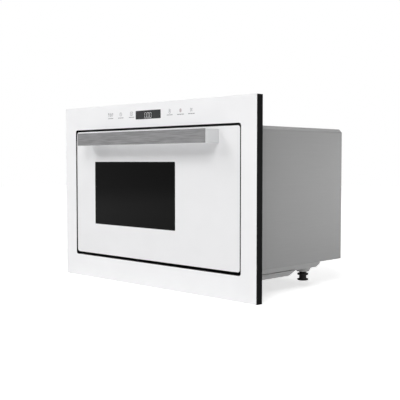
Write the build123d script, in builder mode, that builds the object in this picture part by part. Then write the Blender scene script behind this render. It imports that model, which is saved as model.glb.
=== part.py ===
from build123d import *

import os
from math import atan2, cos, radians, sin, sqrt, tan

# Built-in microwave oven with a drop-down door and a bar handle.
# Millimetres. X runs to the right seen from the front, Y runs back into the cabinet, Z is up.
# The origin lies in the cabinet's front plane, on the shelf that the feet stand on, in the middle.
# The trim laps the cabinet in front of that plane, and everything behind it goes into the niche.

# Front panel
front_width = 594.0
front_height = 388.0
front_drop = 15.0
glass = 4.0
glass_arris = 0.4

# Black trim behind the glass
trim_depth = 12.1
trim_sheet = 1.2
trim_lap = 26.0
trim_bend = 4.0

# Strips of the front panel round the door's opening
side_strip = 39.5
top_strip = 51.7
bottom_strip = 50.0
opening_radius = 5.0

# Moulded bezel that lines the opening
bezel_web = 2.2
bezel_wall = 2.2
bezel_fit = 0.3
skirt_wall = 2.0
skirt_depth = 5.6
rib = 1.6
rib_pitch = 42.0
rib_drop = 0.8
boss_radius = 4.0
boss_sink = 0.7
boss_corner = 33.15
boss_side_inset = 92.5
pilot_radius = 1.4
pilot_depth = 14.0
bezel_screw_radius = 1.35
bezel_head_radius = 3.2
bezel_head = 2.2
screw_tip_gap = 2.0

# Screws that hold the oven in the cabinet go sideways through the bezel
cabinet_hole_y = 9.0
cabinet_hole_radius = 2.6
cabinet_hole_depth = 8.0
cabinet_hole_spacing = 140.0
cabinet_sleeve_radius = 5.0

# Controls behind the top strip
display_width = 78.0
display_height = 17.0
display_x = -3.0
display_drop = 24.8
touch_places = (-128.0, -93.0, -57.0, 63.0, 95.0, 126.0)
touch_drop = 21.2
touch_radius = 4.0
touch_bore = 3.0
board_width = 290.0
board_height = 34.0
board = 1.6
board_stand_off = 5.6
chip = 1.6
# Chips on the control board: x from its middle, width and height
control_chips = ((-96, 22, 14), (-40, 12, 12), (18, 16, 9), (72, 9, 18), (110, 14, 8))
housing_wall = 1.5
housing_margin = 4.0
housing_shift = 0.2
housing_lap = 2.0
peg_radius = 3.0
peg_inset_x = 7.0
peg_inset_z = 5.0

# Steel front plate
plate_y = 22.0
plate_sheet = 1.0
plate_margin = 10.5

# Oven cavity
left_bay = 35.0
parts_bay = 145.0
sill = 41.0
lintel = 31.3
back_bay = 18.5
cavity_sheet = 1.0
cavity_radius = 12.0
track_depth = 1.6
track_margin = 18.0
shaft_hole_radius = 7.0
vent_radius = 1.9
vent_pitch = 6.5
vent_sides = 6
lamp_vents = (4, 4)
outlet_vents = (7, 4)
vent_drop = 34.0
outlet_gap = 44.0
lamp_gap = 47.0

# Outer cover and back
body_inset = 2.5
cover_sheet = 0.8
cover_chamfer = 7.5
cover_bend = 3.0
cover_drop = 2.0
cover_rise = 3.9
cover_flange = 11.0
cover_screw_radius = 1.9
cover_screw_head = 3.6
cover_screw_head_height = 2.0
cover_screw_tip = 5.0
cover_screw_inset = 6.0
cover_screw_ends = 36.0
cover_screw_pitch = 150.0
sheet_hole_gap = 0.2
back_slot = 3.2
back_slot_pitch = 8.0
intake_slots = 9
intake_height = 75.0
outlet_slots = 24
outlet_height = 22.0
outlet_drop = 26.0
body_depth = 290.5
back_sheet = 1.0
sheet_fit = 0.2

# Base pan, pressed in two steps
pan_sheet = 1.0
pan_screw_gap = 3.0
pan_flange = 12.0
pan_fit = 0.1
pan_slot = 4.0
pan_slot_pitch = 11.0
pan_slot_ends = 12.0
pan_slots = 10
step_drop = 10.7
boss_drop = 7.6
pan_top_inset = 3.0
pan_floor_inset = 8.0
pan_back_gap = 62.9
pan_back_run = 17.0
well_top_inset = 12.0
well_floor_inset = 14.0
well_back_gap = 142.5
well_back_run = 21.0
foot_boss_radius = 17.0
foot_boss_seat = 13.0
pan_bend = 2.5
pan_ramp_bend = 9.0
pan_flare = 6.0
pan_corner = 14.0

# Feet
foot_height = 19.1
foot_neck_radius = 7.65
foot_flange_radius = 11.5
foot_flange = 3.2
foot_upper_flange = 11.5
foot_stem_radius = 4.0
foot_stem = 5.0
back_foot_inset = 25.0
back_foot_gap = 102.3
front_foot_inset = 41.0
front_foot_gap = 21.0

# Door
door_side_gap = 2.0
door_top_gap = 3.5
door_bottom_gap = 5.2
door_recess = 1.5
door_radius = 9.0
window_width = 263.0
window_height = 139.2
window_shift = 0.4
window_drop = 4.0
window_margin = 5.0
carrier_inset = 1.5
carrier_web = 2.5
carrier_wall = 2.5
carrier_radius = 4.0
door_rib_gap = 5.0
door_rib_side = 30.0
door_rib_foot = 34.0
door_rib_head = 52.0
rib_columns = 4
rib_rows = 4
door_split = 6.0
seal_gap = 2.0
cover_web = 2.0
cover_bevel = 8.0
cover_edge = 3.0

# Choke, the pressed steel ring that keeps the energy in
choke_sheet = 1.0
choke_lap = 22.0
choke_inner_lap = 4.0
choke_lip = 7.0
choke_radius = 8.0
comb_slot = 4.0
comb_pitch = 18.0
comb_depth = 8.0
comb_ends = 32.0
choke_screw_rise = 20.0
inner_pane = 2.0
inner_view_margin = 14.0
pane_lap = 4.0
pane_corner = 4.0
view_corner = 6.0
screen_sheet = 0.8
screen_lap = 3.0

# Handle
handle_length = 400.0
handle_height = 27.0
handle_drop = 22.7
handle_reach = 38.9
handle_bar = 14.0
handle_strip_sheet = 1.5
strip_arris = 0.3
handle_post = 24.0
handle_inner_radius = 6.0
handle_edge = 1.2
handle_screw_radius = 2.0
handle_screw_head = 4.0
handle_screw_head_height = 2.6
handle_screw_grip = 15.0

# Small screws inside the door
screw_grip = 2.0
screw_head = 1.8
screw_radius = 1.5
screw_head_radius = 3.0
screw_play = 0.2

# Clearance between a pin or shaft and its hole
running_fit = 0.05
play = 0.3

# How far a cut runs past a sheet, and how near a plane an edge lies when it is picked
past = 2.0
pick = 0.01

# Hinges
pivot_back = 10.6
pivot_up = 11.8
pin_radius = 2.5
pin_head_radius = 4.0
pin_head = 1.5
ear_radius = 5.9
ear_sheet = 3.0
ear_gap = 0.5
leaf_sheet = 2.5
leaf_height = 74.0
bracket_sheet = 1.5
bracket_width = 20.0
bracket_height = 40.0
bracket_drop = 4.0
leaf_corner = 3.0
leaf_screw_inset = 6.0
leaf_screw_rises = (28.0, 54.0)
pocket_gap = 0.8

# Latch hooks
hook = 4.0
hook_inset = 5.5
hook_drop = 31.3
hook_pivot_y = 3.0
hook_pivot_radius = 5.0
hook_pin_radius = 1.8
hook_bar = 6.0
hook_reach = 22.0
hook_nose = 4.0
hook_nose_length = 6.0
latch_wall = 3.0
latch_depth = 33.0
latch_below = 10.0
latch_above = 16.0
hook_rise = 12.0
hook_play = 1.5
hook_side_play = 0.8
hook_head_room = 7.0
latch_inset = 4.5
latch_edge_gap = 0.5
switch_height = 16.0
switch_depth = 27.0
switch_lap = 3.0

# Turntable
plate_clearance = 13.5
plate_thickness = 5.0
plate_rim = 9.0
plate_rim_width = 9.0
roller_radius = 7.0
roller_width = 7.0
roller_inset = 24.0
axle_radius = 2.0
ring_width = 9.0
ring_height = 4.0
ring_gap = 1.5
axle_end = 2.5
roller_edge = 0.8
rest_gap = 0.3
shaft_radius = 3.5
shaft_rise = 9.0
coupler_radius = 13.0
coupler_hub_radius = 8.06
coupler_lobes = 3
coupler_lobe = 6.0
coupler_top_play = 1.2
coupler_edge = 0.6
motor_radius = 25.0
motor_height = 17.0
motor_tab = 1.2
motor_tab_reach = 10.0
motor_tab_width = 12.0
motor_socket = 6.0
shaft_end_gap = 0.2

# Waveguide and magnetron
guide_width = 80.0
guide_height = 38.0
guide_length = 150.0
guide_gap = 72.0
guide_sheet = 1.0
guide_flange = 8.0
guide_rise = 27.0
port_length = 62.0
port_height = 44.0
port_inset = 16.0
mica = 0.8
mica_lap = 12.0
mica_corner = 5.0
magnetron_inset = 45.0
magnetron_plate = 2.0
yoke_width = 76.0
yoke_length = 58.0
yoke_height = 92.0
yoke_sheet = 2.0
yoke_inset = 6.0
fin_count = 7
fin = 1.2
fin_inset = 4.0
anode_radius = 16.5
filter_box = 30.0
antenna_radius = 9.0
antenna_length = 24.0
antenna_play = 3.0

# Cooling fan
fan_radius = 50.0
fan_clearance = 3.0
fan_hub_radius = 13.0
fan_depth = 16.0
fan_blades = 7
fan_root = 2.0
fan_root_pitch = 42.0
fan_root_chord = 18.0
fan_tip_pitch = 28.0
fan_tip_chord = 27.0
fan_camber = 2.5
fan_nose = 3.0
fan_blade_sheet = 1.6
fan_shaft_radius = 2.0
shroud_wall = 2.0
shroud_flange = 6.0
fan_motor_width = 56.0
fan_motor_height = 46.0
fan_motor_depth = 18.0
fan_motor_gap = 6.0
fan_lead = 3.0
fan_arm = 10.0
fan_shaft_reach = 4.0

# Power parts on the base pan
core_width = 92.0
core_length = 56.0
core_height = 76.0
coil_overhang = 16.0
core_gap = 44.0
core_limbs = 5
core_foot_reach = 9.0
core_foot_lap = 3.0
coil_gap = 0.4
coil_corner = 10.0
capacitor_width = 52.0
capacitor_depth = 34.0
capacitor_height = 84.0
capacitor_gap = 173.0
terminal = 8.0
terminal_spacing = 21.7

# Boards inside
# A board carries its parts at x and z from its middle, each with its width, height and depth
power_board_parts = (
    (-30, 22, 20, 16, 16),
    (-4, 22, 20, 16, 16),
    (28, 18, 34, 30, 24),
    (-28, -12, 14, 30, 6),
    (10, -24, 40, 12, 9),
)
filter_board_parts = ((-12, 16, 26, 26, 18), (16, -14, 14, 24, 10), (-14, -20, 22, 8, 8))
power_board_width = 104.0
power_board_height = 96.0
power_board_stand_off = 7.0
power_board_rise = 40.0
filter_board_width = 62.0
filter_board_height = 74.0
filter_board_stand_off = 6.0
filter_board_inset = 12.0
filter_board_lift = 24.0

# Oven lamp
lamp_wall = 1.2
lamp_width = 30.0
lamp_reach = 34.0
bulb_radius = 8.0
bulb_neck_radius = 5.6
bulb_neck = 10.0

# Cord inlet
gland_bore_radius = 4.2
gland_radius = 9.0
gland_flange_radius = 13.0
gland_flange = 3.0
gland_length = 16.0
gland_edge = 0.8
gland_inset = 41.0
gland_rise = 35.1

# Worked out from the sizes above
front_bottom = -front_drop
front_top = front_bottom + front_height
front_mid = front_bottom + front_height / 2
front_y = -(trim_depth + glass)
opening_width = front_width - 2 * side_strip
opening_height = front_height - top_strip - bottom_strip
opening_bottom = front_bottom + bottom_strip
opening_top = front_top - top_strip
opening_mid = (opening_bottom + opening_top) / 2
opening_half = opening_width / 2
display_z = front_top - display_drop
touch_z = front_top - touch_drop

door_half = opening_half - door_side_gap
door_bottom = opening_bottom + door_bottom_gap
door_top = opening_top - door_top_gap
door_mid = (door_bottom + door_top) / 2
door_height = door_top - door_bottom
door_front = front_y + door_recess
door_glass_back = door_front + glass
door_back = plate_y - seal_gap

carrier_half = door_half - carrier_inset
carrier_bottom = door_bottom + carrier_inset
carrier_top = door_top - carrier_inset
carrier_height = carrier_top - carrier_bottom
carrier_back = door_glass_back + carrier_web
carrier_inner = carrier_half - carrier_wall

pivot_y = door_front + pivot_back
pivot_z = door_bottom + pivot_up

plate_back = plate_y + plate_sheet
body_back = plate_back + body_depth
body_half = opening_half - body_inset
body_top = opening_top - cover_drop
cover_bottom = opening_bottom + cover_rise
cover_inner = body_half - cover_sheet
panel_back = body_back - cover_sheet
panel_y = panel_back - back_sheet

cavity_left = -body_half + left_bay
cavity_right = body_half - parts_bay
cavity_width = cavity_right - cavity_left
cavity_x = (cavity_left + cavity_right) / 2
cavity_bottom = opening_bottom + sill
cavity_top = opening_top - lintel
cavity_height = cavity_top - cavity_bottom
cavity_z = (cavity_bottom + cavity_top) / 2
cavity_back = body_back - back_bay
cavity_depth = cavity_back - plate_back
cavity_y = (cavity_back + plate_back) / 2
wall_right = cavity_right + cavity_sheet
window_x = cavity_x + window_shift
window_z = cavity_z - window_drop
handle_z = opening_top - handle_drop
hook_z = opening_top - hook_drop
guide_start = plate_back + guide_gap
guide_z = cavity_z + guide_rise
core_start = plate_back + core_gap
capacitor_y = plate_back + capacitor_gap
gland_x = body_half - gland_inset
gland_z = cover_bottom + gland_rise

pan_floor = foot_height + boss_drop
well_floor = pan_floor - step_drop
pan_back = body_back - pan_back_gap
well_back = body_back - well_back_gap
pan_lean = atan2(cover_bottom - pan_floor, pan_floor_inset - pan_top_inset)
pan_flat_half = body_half - pan_floor_inset - pan_bend * tan(pan_lean / 2)
back_foot_x = body_half - back_foot_inset
back_foot_y = body_back - back_foot_gap
front_foot_x = body_half - front_foot_inset
front_foot_y = plate_back + front_foot_gap

plate_radius = min(cavity_depth, cavity_width) / 2 - plate_clearance
track_radius = plate_radius - roller_inset + track_margin
track_floor = cavity_bottom - track_depth
roller_z = track_floor + rest_gap + roller_radius
roller_track = plate_radius - roller_inset
glass_plate_z = roller_z + roller_radius + rest_gap


def facing(y):
    """The plane at depth y seen from the front: X right, Z up, a negative extrusion goes back."""
    return Plane.XZ.offset(-y)


def side_on(x):
    """The plane at x seen from the right: Y right, Z up, a positive extrusion goes to +X."""
    return Plane.YZ.offset(x)


def level(z):
    """The level plane at height z."""
    return Plane.XY.offset(z)


def finish(piece, name):
    """Names a finished piece and writes its file."""
    piece.part.label = name
    export_step(piece.part, f"parts/{name}.step")


def block(low, high, mode=Mode.ADD):
    """A plain block between two corners."""
    size = [b - a for a, b in zip(low, high)]
    with Locations(tuple(low)):
        Box(*size, align=(Align.MIN, Align.MIN, Align.MIN), mode=mode)


os.makedirs("parts", exist_ok=True)

# Front glass, one white pane with the door's opening cut out
with BuildPart() as front_glass:
    with BuildSketch(facing(front_y)):
        with Locations((0, front_mid)):
            Rectangle(front_width, front_height)
        with Locations((0, opening_mid)):
            RectangleRounded(opening_width, opening_height, opening_radius, mode=Mode.SUBTRACT)
    extrude(amount=-glass)
    chamfer(front_glass.faces().sort_by(Axis.Y)[0].edges(), glass_arris)
finish(front_glass, "front_glass")

# Trim, a bent steel ring: a return behind the glass and a lap flat on the cabinet
with BuildPart() as trim_frame:
    with BuildSketch(facing(-trim_depth)):
        with Locations((0, front_mid)):
            Rectangle(front_width, front_height)
    extrude(amount=-trim_depth)
    fillet(trim_frame.faces().sort_by(Axis.Y)[-1].edges(), trim_bend)
    with BuildSketch(facing(-trim_depth)):
        with Locations((0, front_mid)):
            Rectangle(front_width - 2 * trim_sheet, front_height - 2 * trim_sheet)
    extrude(amount=-(trim_depth - trim_sheet), mode=Mode.SUBTRACT)
    bend_edges = trim_frame.edges().filter_by_position(Axis.Y, -trim_sheet - pick, -trim_sheet + pick)
    fillet(bend_edges, trim_bend - trim_sheet)
    with BuildSketch(facing(-trim_sheet - 1)):
        with Locations((0, front_mid)):
            Rectangle(front_width - 2 * trim_lap, front_height - 2 * trim_lap)
    extrude(amount=-(trim_sheet + 2), mode=Mode.SUBTRACT)
finish(trim_frame, "trim_frame")

# Bezel, moulded: a web behind the glass, a skirt inside the trim, the walls of the door's opening,
# ribs between them and bosses for the screws that come through the front plate
bezel_width = front_width - 2 * (trim_sheet + bezel_fit)
bezel_height = front_height - 2 * (trim_sheet + bezel_fit)
bezel_back = -trim_depth + bezel_web
boss_x = opening_half + bezel_wall + boss_radius - boss_sink
boss_rise = opening_height / 2 + bezel_wall + boss_radius - boss_sink
boss_side_rise = opening_height / 2 - boss_corner
boss_across = opening_half - boss_side_inset
boss_places = [(sx * boss_x, opening_mid + sz * boss_side_rise) for sx in (-1, 1) for sz in (-1, 1)]
boss_places += [(sx * boss_across, opening_mid + sz * boss_rise) for sz in (-1, 1) for sx in (-1, 1)]
cabinet_holes = [opening_mid + side * cabinet_hole_spacing / 2 for side in (-1, 1)]
housing_width = board_width + 2 * housing_margin
housing_height = board_height + 2 * housing_margin
housing_z = display_z - housing_shift
control_gap_width = housing_width - 2 * housing_lap
control_gap_height = housing_height - 2 * housing_lap
rib_low = front_mid - bezel_height / 2
rib_high = front_mid + bezel_height / 2
rib_side_length = bezel_width / 2 - opening_half
rib_side_middle = bezel_width / 2 - rib_side_length / 2
side_ribs = int((front_height - 2 * rib_pitch) / rib_pitch)
across_ribs = int((front_width - 2 * rib_pitch) / rib_pitch)

with BuildPart() as bezel:
    with BuildSketch(facing(-trim_depth)):
        with Locations((0, front_mid)):
            Rectangle(bezel_width, bezel_height)
    extrude(amount=-bezel_web)
    with BuildSketch(facing(bezel_back)):
        with Locations((0, front_mid)):
            Rectangle(bezel_width, bezel_height)
            Rectangle(bezel_width - 2 * skirt_wall, bezel_height - 2 * skirt_wall, mode=Mode.SUBTRACT)
    extrude(amount=-skirt_depth)
    with BuildSketch(facing(-trim_depth)):
        with Locations((0, opening_mid)):
            RectangleRounded(
                opening_width + 2 * bezel_wall,
                opening_height + 2 * bezel_wall,
                opening_radius + bezel_wall,
            )
    extrude(amount=-(trim_depth + plate_y))
    # Ribs across the side strips, the bottom strip and the free ends of the top strip
    with BuildSketch(facing(bezel_back)):
        for count in range(side_ribs + 1):
            z = front_mid + (count - side_ribs / 2) * rib_pitch
            with Locations((-rib_side_middle, z), (rib_side_middle, z)):
                Rectangle(rib_side_length, rib)
        for count in range(across_ribs + 1):
            x = (count - across_ribs / 2) * rib_pitch
            with Locations((x, (rib_low + opening_bottom) / 2)):
                Rectangle(rib, opening_bottom - rib_low)
            if abs(x) > housing_width / 2 + rib:
                with Locations((x, (rib_high + opening_top) / 2)):
                    Rectangle(rib, rib_high - opening_top)
    extrude(amount=-(skirt_depth - rib_drop))
    with BuildSketch(facing(bezel_back)):
        with Locations(*boss_places):
            Circle(boss_radius)
    extrude(amount=-(plate_y - bezel_back))
    with BuildSketch(side_on(-opening_half - cabinet_hole_depth)):
        with Locations(*[(cabinet_hole_y, z) for z in cabinet_holes]):
            Circle(cabinet_sleeve_radius)
    extrude(amount=2 * (opening_half + cabinet_hole_depth))
    with BuildSketch(facing(-trim_depth - 1)):
        with Locations((0, opening_mid)):
            RectangleRounded(opening_width, opening_height, opening_radius)
        with Locations((0, housing_z)):
            Rectangle(control_gap_width, control_gap_height)
    extrude(amount=-(trim_depth + plate_y + 2), mode=Mode.SUBTRACT)
    with BuildSketch(facing(plate_y - pilot_depth)):
        with Locations(*boss_places):
            Circle(pilot_radius)
    extrude(amount=-(pilot_depth + 1), mode=Mode.SUBTRACT)
    with BuildSketch(side_on(-opening_half - cabinet_hole_depth - 1)):
        with Locations(*[(cabinet_hole_y, z) for z in cabinet_holes]):
            Circle(cabinet_hole_radius)
    extrude(amount=2 * (opening_half + cabinet_hole_depth + 1), mode=Mode.SUBTRACT)
finish(bezel, "bezel")

# Screws through the front plate into the bezel's bosses
bezel_screw = pilot_depth - screw_tip_gap
with BuildPart() as bezel_screws:
    with BuildSketch(facing(plate_back)):
        with Locations(*boss_places):
            Circle(bezel_head_radius)
    extrude(amount=-bezel_head)
    with BuildSketch(facing(plate_y - bezel_screw)):
        with Locations(*boss_places):
            Circle(bezel_screw_radius)
    extrude(amount=-(bezel_screw + plate_sheet))
finish(bezel_screws, "bezel_screws")

# Control board with its chips, on pegs of the housing
board_y = -trim_depth + board_stand_off
board_back = board_y + board
with BuildPart() as control_board:
    block(
        (-board_width / 2, board_y, housing_z - board_height / 2),
        (board_width / 2, board_back, housing_z + board_height / 2),
    )
    for x, width, height in control_chips:
        block(
            (x - width / 2, board_back, housing_z - height / 2),
            (x + width / 2, board_back + chip, housing_z + height / 2),
        )
finish(control_board, "control_board")

with BuildPart() as display_module:
    block(
        (display_x - display_width / 2, -trim_depth, display_z - display_height / 2),
        (display_x + display_width / 2, board_y, display_z + display_height / 2),
    )
finish(display_module, "display_module")

# Sprung touch contacts between the board and the glass
with BuildPart() as touch_contacts:
    with BuildSketch(facing(-trim_depth)):
        with Locations(*[(x, touch_z) for x in touch_places]):
            Circle(touch_radius)
            Circle(touch_bore, mode=Mode.SUBTRACT)
    extrude(amount=-board_stand_off)
finish(touch_contacts, "touch_contacts")

# Housing, a shallow tray clipped behind the web
housing_back = -trim_sheet - bezel_fit
with BuildPart() as control_housing:
    with BuildSketch(facing(bezel_back)):
        with Locations((0, housing_z)):
            Rectangle(housing_width, housing_height)
    extrude(amount=-(housing_back - bezel_back))
    with BuildSketch(facing(bezel_back)):
        with Locations((0, housing_z)):
            Rectangle(housing_width - 2 * housing_wall, housing_height - 2 * housing_wall)
    extrude(amount=-(housing_back - bezel_back - housing_wall), mode=Mode.SUBTRACT)
    with BuildSketch(facing(board_back)):
        with Locations((0, housing_z)):
            with GridLocations(board_width - 2 * peg_inset_x, board_height - 2 * peg_inset_z, 2, 2):
                Circle(peg_radius)
    extrude(amount=-(housing_back - board_back))
finish(control_housing, "control_housing")

# Hinge and latch places that the plate and the door share
side_places = (-1, 1)
leaf_x = carrier_inner - leaf_sheet
ear_x = leaf_x - ear_gap - ear_sheet
hook_x = carrier_inner - hook_inset
hook_low = hook_z - hook_bar / 2
hook_high = hook_z + hook_bar / 2
nose_low = hook_low - hook_nose


def slot_between(near, far, low, high, side):
    """A rectangle on a plane seen from the front, on the left or right side."""
    with Locations((side * (near + far) / 2, (low + high) / 2)):
        Rectangle(far - near, high - low)


# Front plate: cavity opening, slots for hooks and hinges, holes for the bezel's screws
plate_hole_radius = bezel_screw_radius + play
plate_half = opening_half + plate_margin
with BuildPart() as front_plate:
    with BuildSketch(facing(plate_y)):
        with Locations((0, opening_mid)):
            Rectangle(2 * plate_half, opening_height + 2 * plate_margin)
        with Locations((cavity_x, cavity_z)):
            RectangleRounded(cavity_width, cavity_height, cavity_radius, mode=Mode.SUBTRACT)
        with Locations(*boss_places):
            Circle(plate_hole_radius, mode=Mode.SUBTRACT)
        for side in side_places:
            with Locations((side * (hook_x + hook / 2), (nose_low + hook_high + hook_rise) / 2 - 1)):
                Rectangle(hook + 2 * hook_play, hook_rise + hook_high - nose_low, mode=Mode.SUBTRACT)
            with Locations((side * (ear_x + ear_sheet / 2), pivot_z)):
                Rectangle(ear_sheet + 1, 2 * ear_radius + 1, mode=Mode.SUBTRACT)
    extrude(amount=-plate_sheet)
finish(front_plate, "front_plate")

# Cavity, with a round track for the rollers, the shaft's hole, the energy port and its vents
port_start = guide_start + port_inset
port_y = port_start + port_length / 2
lamp_y = plate_back + lamp_gap
lamp_z = cavity_top - vent_drop
outlet_y = cavity_back - outlet_gap
with BuildPart() as cavity_shell:
    with BuildSketch(facing(plate_back)):
        with Locations((cavity_x, cavity_z)):
            RectangleRounded(
                cavity_width + 2 * cavity_sheet,
                cavity_height + 2 * cavity_sheet,
                cavity_radius + cavity_sheet,
            )
    extrude(amount=-(cavity_depth + cavity_sheet))
    with BuildSketch(level(track_floor - cavity_sheet)):
        with Locations((cavity_x, cavity_y)):
            Circle(track_radius + cavity_sheet)
    extrude(amount=track_depth + cavity_sheet)
    with BuildSketch(facing(plate_back - 1)):
        with Locations((cavity_x, cavity_z)):
            RectangleRounded(cavity_width, cavity_height, cavity_radius)
    extrude(amount=-(cavity_depth + 1), mode=Mode.SUBTRACT)
    with BuildSketch(level(track_floor)):
        with Locations((cavity_x, cavity_y)):
            Circle(track_radius)
    extrude(amount=track_depth + 1, mode=Mode.SUBTRACT)
    with BuildSketch(level(track_floor - past)):
        with Locations((cavity_x, cavity_y)):
            Circle(shaft_hole_radius)
    extrude(amount=2 * past, mode=Mode.SUBTRACT)
    with BuildSketch(side_on(cavity_right - past)):
        with Locations((port_y, guide_z)):
            Rectangle(port_length, port_height)
        with Locations((lamp_y, lamp_z)):
            with GridLocations(vent_pitch, vent_pitch, *lamp_vents):
                RegularPolygon(vent_radius, vent_sides)
    extrude(amount=2 * past, mode=Mode.SUBTRACT)
    with BuildSketch(side_on(cavity_left - past)):
        with Locations((outlet_y, lamp_z)):
            with GridLocations(vent_pitch, vent_pitch, *outlet_vents):
                RegularPolygon(vent_radius, vent_sides)
    extrude(amount=2 * past, mode=Mode.SUBTRACT)
finish(cavity_shell, "cavity_shell")


def pan_step(inset, low, high, rise, low_half, high_half, low_end, high_end, flare):
    """One pressed step: its section across and its profile along, each with its bends, crossed."""
    start = plate_back + pan_screw_gap + inset
    corner = pan_corner - inset
    outer, inner = pan_bend - inset, pan_bend - pan_sheet + inset
    ramp_outer, ramp_inner = pan_ramp_bend - inset, pan_ramp_bend - pan_sheet + inset
    low, high = low + inset, high + inset
    low_half, high_half = low_half - inset, high_half - inset
    low_end, high_end = low_end - inset, high_end - inset
    with BuildPart() as step:
        with BuildSketch(facing(start)) as across:
            Polygon(
                (low_half, low),
                (high_half, high),
                (high_half + flare, high),
                (high_half + flare, high + rise),
                (-high_half - flare, high + rise),
                (-high_half - flare, high),
                (-high_half, high),
                (-low_half, low),
                align=None,
            )
            fillet(across.vertices().group_by(Axis.Y)[0], outer)
            if flare:
                fillet(across.vertices().group_by(Axis.Y)[-2].sort_by(Axis.X)[1:-1], inner)
        extrude(amount=-(high_end + flare - start))
        with BuildSketch(side_on(-high_half - flare)) as along:
            Polygon(
                (start, low),
                (low_end, low),
                (high_end, high),
                (high_end + flare, high),
                (high_end + flare, high + rise),
                (start, high + rise),
                align=None,
            )
            fillet(along.vertices().group_by(Axis.Y)[0].sort_by(Axis.X)[-1], ramp_outer)
            if flare:
                fillet(along.vertices().group_by(Axis.Y)[-2].sort_by(Axis.X)[-2], ramp_inner)
        extrude(amount=2 * (high_half + flare), mode=Mode.INTERSECT)
        with BuildSketch(level(low)) as outline:
            with Locations((0, (start + high_end + flare) / 2)):
                Rectangle(2 * (high_half + flare), high_end + flare - start)
            fillet(outline.vertices().group_by(Axis.Y)[-1], corner + flare)
        extrude(amount=high + rise - low, mode=Mode.INTERSECT)
    return step.part


def pan_form(inset, top):
    """The pressed pan's outside, or the hollow in it when the inset is the sheet's thickness."""
    with BuildPart() as form:
        add(
            pan_step(
                inset,
                pan_floor,
                cover_bottom,
                top,
                body_half - pan_floor_inset,
                body_half - pan_top_inset,
                pan_back - pan_back_run,
                pan_back,
                0,
            )
        )
        add(
            pan_step(
                inset,
                well_floor,
                pan_floor,
                pan_sheet,
                body_half - well_floor_inset,
                body_half - well_top_inset,
                well_back - well_back_run,
                well_back,
                pan_flare,
            )
        )
        # The back feet hang on drawn bosses, cut flat where the pan's side bends up
        with BuildPart(mode=Mode.PRIVATE) as bosses:
            with Locations(*[(side * back_foot_x, back_foot_y, foot_height + inset) for side in side_places]):
                Cone(
                    foot_boss_seat - inset,
                    foot_boss_radius - inset,
                    boss_drop,
                    align=(Align.CENTER, Align.CENTER, Align.MIN),
                )
            with BuildSketch(level(foot_height + inset)):
                with Locations((0, back_foot_y)):
                    Rectangle(2 * (pan_flat_half - inset), 2 * (foot_boss_radius + 1))
            extrude(amount=boss_drop, mode=Mode.INTERSECT)
        add(bosses.part)
        # The front feet sit in raised ones
        with Locations(*[(side * front_foot_x, front_foot_y, well_floor) for side in side_places]):
            Cone(
                foot_boss_radius + inset,
                foot_boss_seat + inset,
                foot_height + inset - well_floor,
                align=(Align.CENTER, Align.CENTER, Align.MIN),
                mode=Mode.SUBTRACT,
            )
    return form.part


pan_outside = pan_form(0, pan_sheet)
pan_hollow = pan_form(pan_sheet, 2 * pan_sheet)
foot_places = {
    "foot_front_left": (-front_foot_x, front_foot_y),
    "foot_front_right": (front_foot_x, front_foot_y),
    "foot_back_left": (-back_foot_x, back_foot_y),
    "foot_back_right": (back_foot_x, back_foot_y),
}
pan_half = cover_inner - pan_fit
with BuildPart() as base_pan:
    add(pan_outside)
    with BuildSketch(level(cover_bottom)):
        with Locations((0, (plate_back + panel_y) / 2)):
            Rectangle(2 * pan_half, panel_y - plate_back)
    extrude(amount=pan_sheet)
    for side in side_places:
        with BuildSketch(level(cover_bottom)):
            with Locations((side * (pan_half - pan_sheet / 2), (plate_back + panel_y) / 2)):
                Rectangle(pan_sheet, panel_y - plate_back)
        extrude(amount=pan_flange)
    add(pan_hollow, mode=Mode.SUBTRACT)
    with BuildSketch(level(foot_height - 1)):
        with Locations(*foot_places.values()):
            Circle(foot_stem_radius)
    extrude(amount=pan_sheet + 2, mode=Mode.SUBTRACT)
    with BuildSketch(level(cover_bottom - 1)):
        with Locations(((cavity_right + cover_inner) / 2, (pan_back + panel_y) / 2)):
            with GridLocations(pan_slot_pitch, 0, pan_slots, 1):
                Rectangle(pan_slot, panel_y - pan_back - 2 * pan_slot_ends)
    extrude(amount=pan_sheet + 2, mode=Mode.SUBTRACT)
finish(base_pan, "base_pan")

# Feet, each with a stem through the pan
for name, (x, y) in foot_places.items():
    with BuildPart() as foot:
        with BuildSketch(Plane.XZ.offset(-y)):
            with BuildLine():
                Polyline(
                    (x, 0),
                    (x + foot_flange_radius - 1, 0),
                    (x + foot_flange_radius, 1),
                    (x + foot_flange_radius, foot_flange),
                    (x + foot_neck_radius, foot_flange),
                    (x + foot_neck_radius, foot_upper_flange),
                    (x + foot_flange_radius, foot_upper_flange),
                    (x + foot_flange_radius, foot_upper_flange + foot_flange),
                    (x + foot_neck_radius, foot_upper_flange + foot_flange),
                    (x + foot_neck_radius, foot_height),
                    (x + foot_stem_radius - running_fit, foot_height),
                    (x + foot_stem_radius - running_fit, foot_height + foot_stem),
                    (x, foot_height + foot_stem),
                    close=True,
                )
            make_face()
        revolve(axis=Axis((x, y, 0), (0, 0, 1)))
    finish(foot, name)


def wrap_outline(inset):
    """The body's outline seen from behind, open below: its top edges bend twice, as folded sheet does."""
    half = body_half - inset
    top = body_top - inset
    cut = cover_chamfer - inset * (2 - sqrt(2))
    with BuildSketch(mode=Mode.PRIVATE) as outline:
        Polygon(
            (-half, cover_bottom),
            (half, cover_bottom),
            (half, top - cut),
            (half - cut, top),
            (-half + cut, top),
            (-half, top - cut),
            align=None,
        )
        fillet(outline.vertices().group_by(Axis.Y)[1:], cover_bend - inset)
    return outline.sketch


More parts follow.
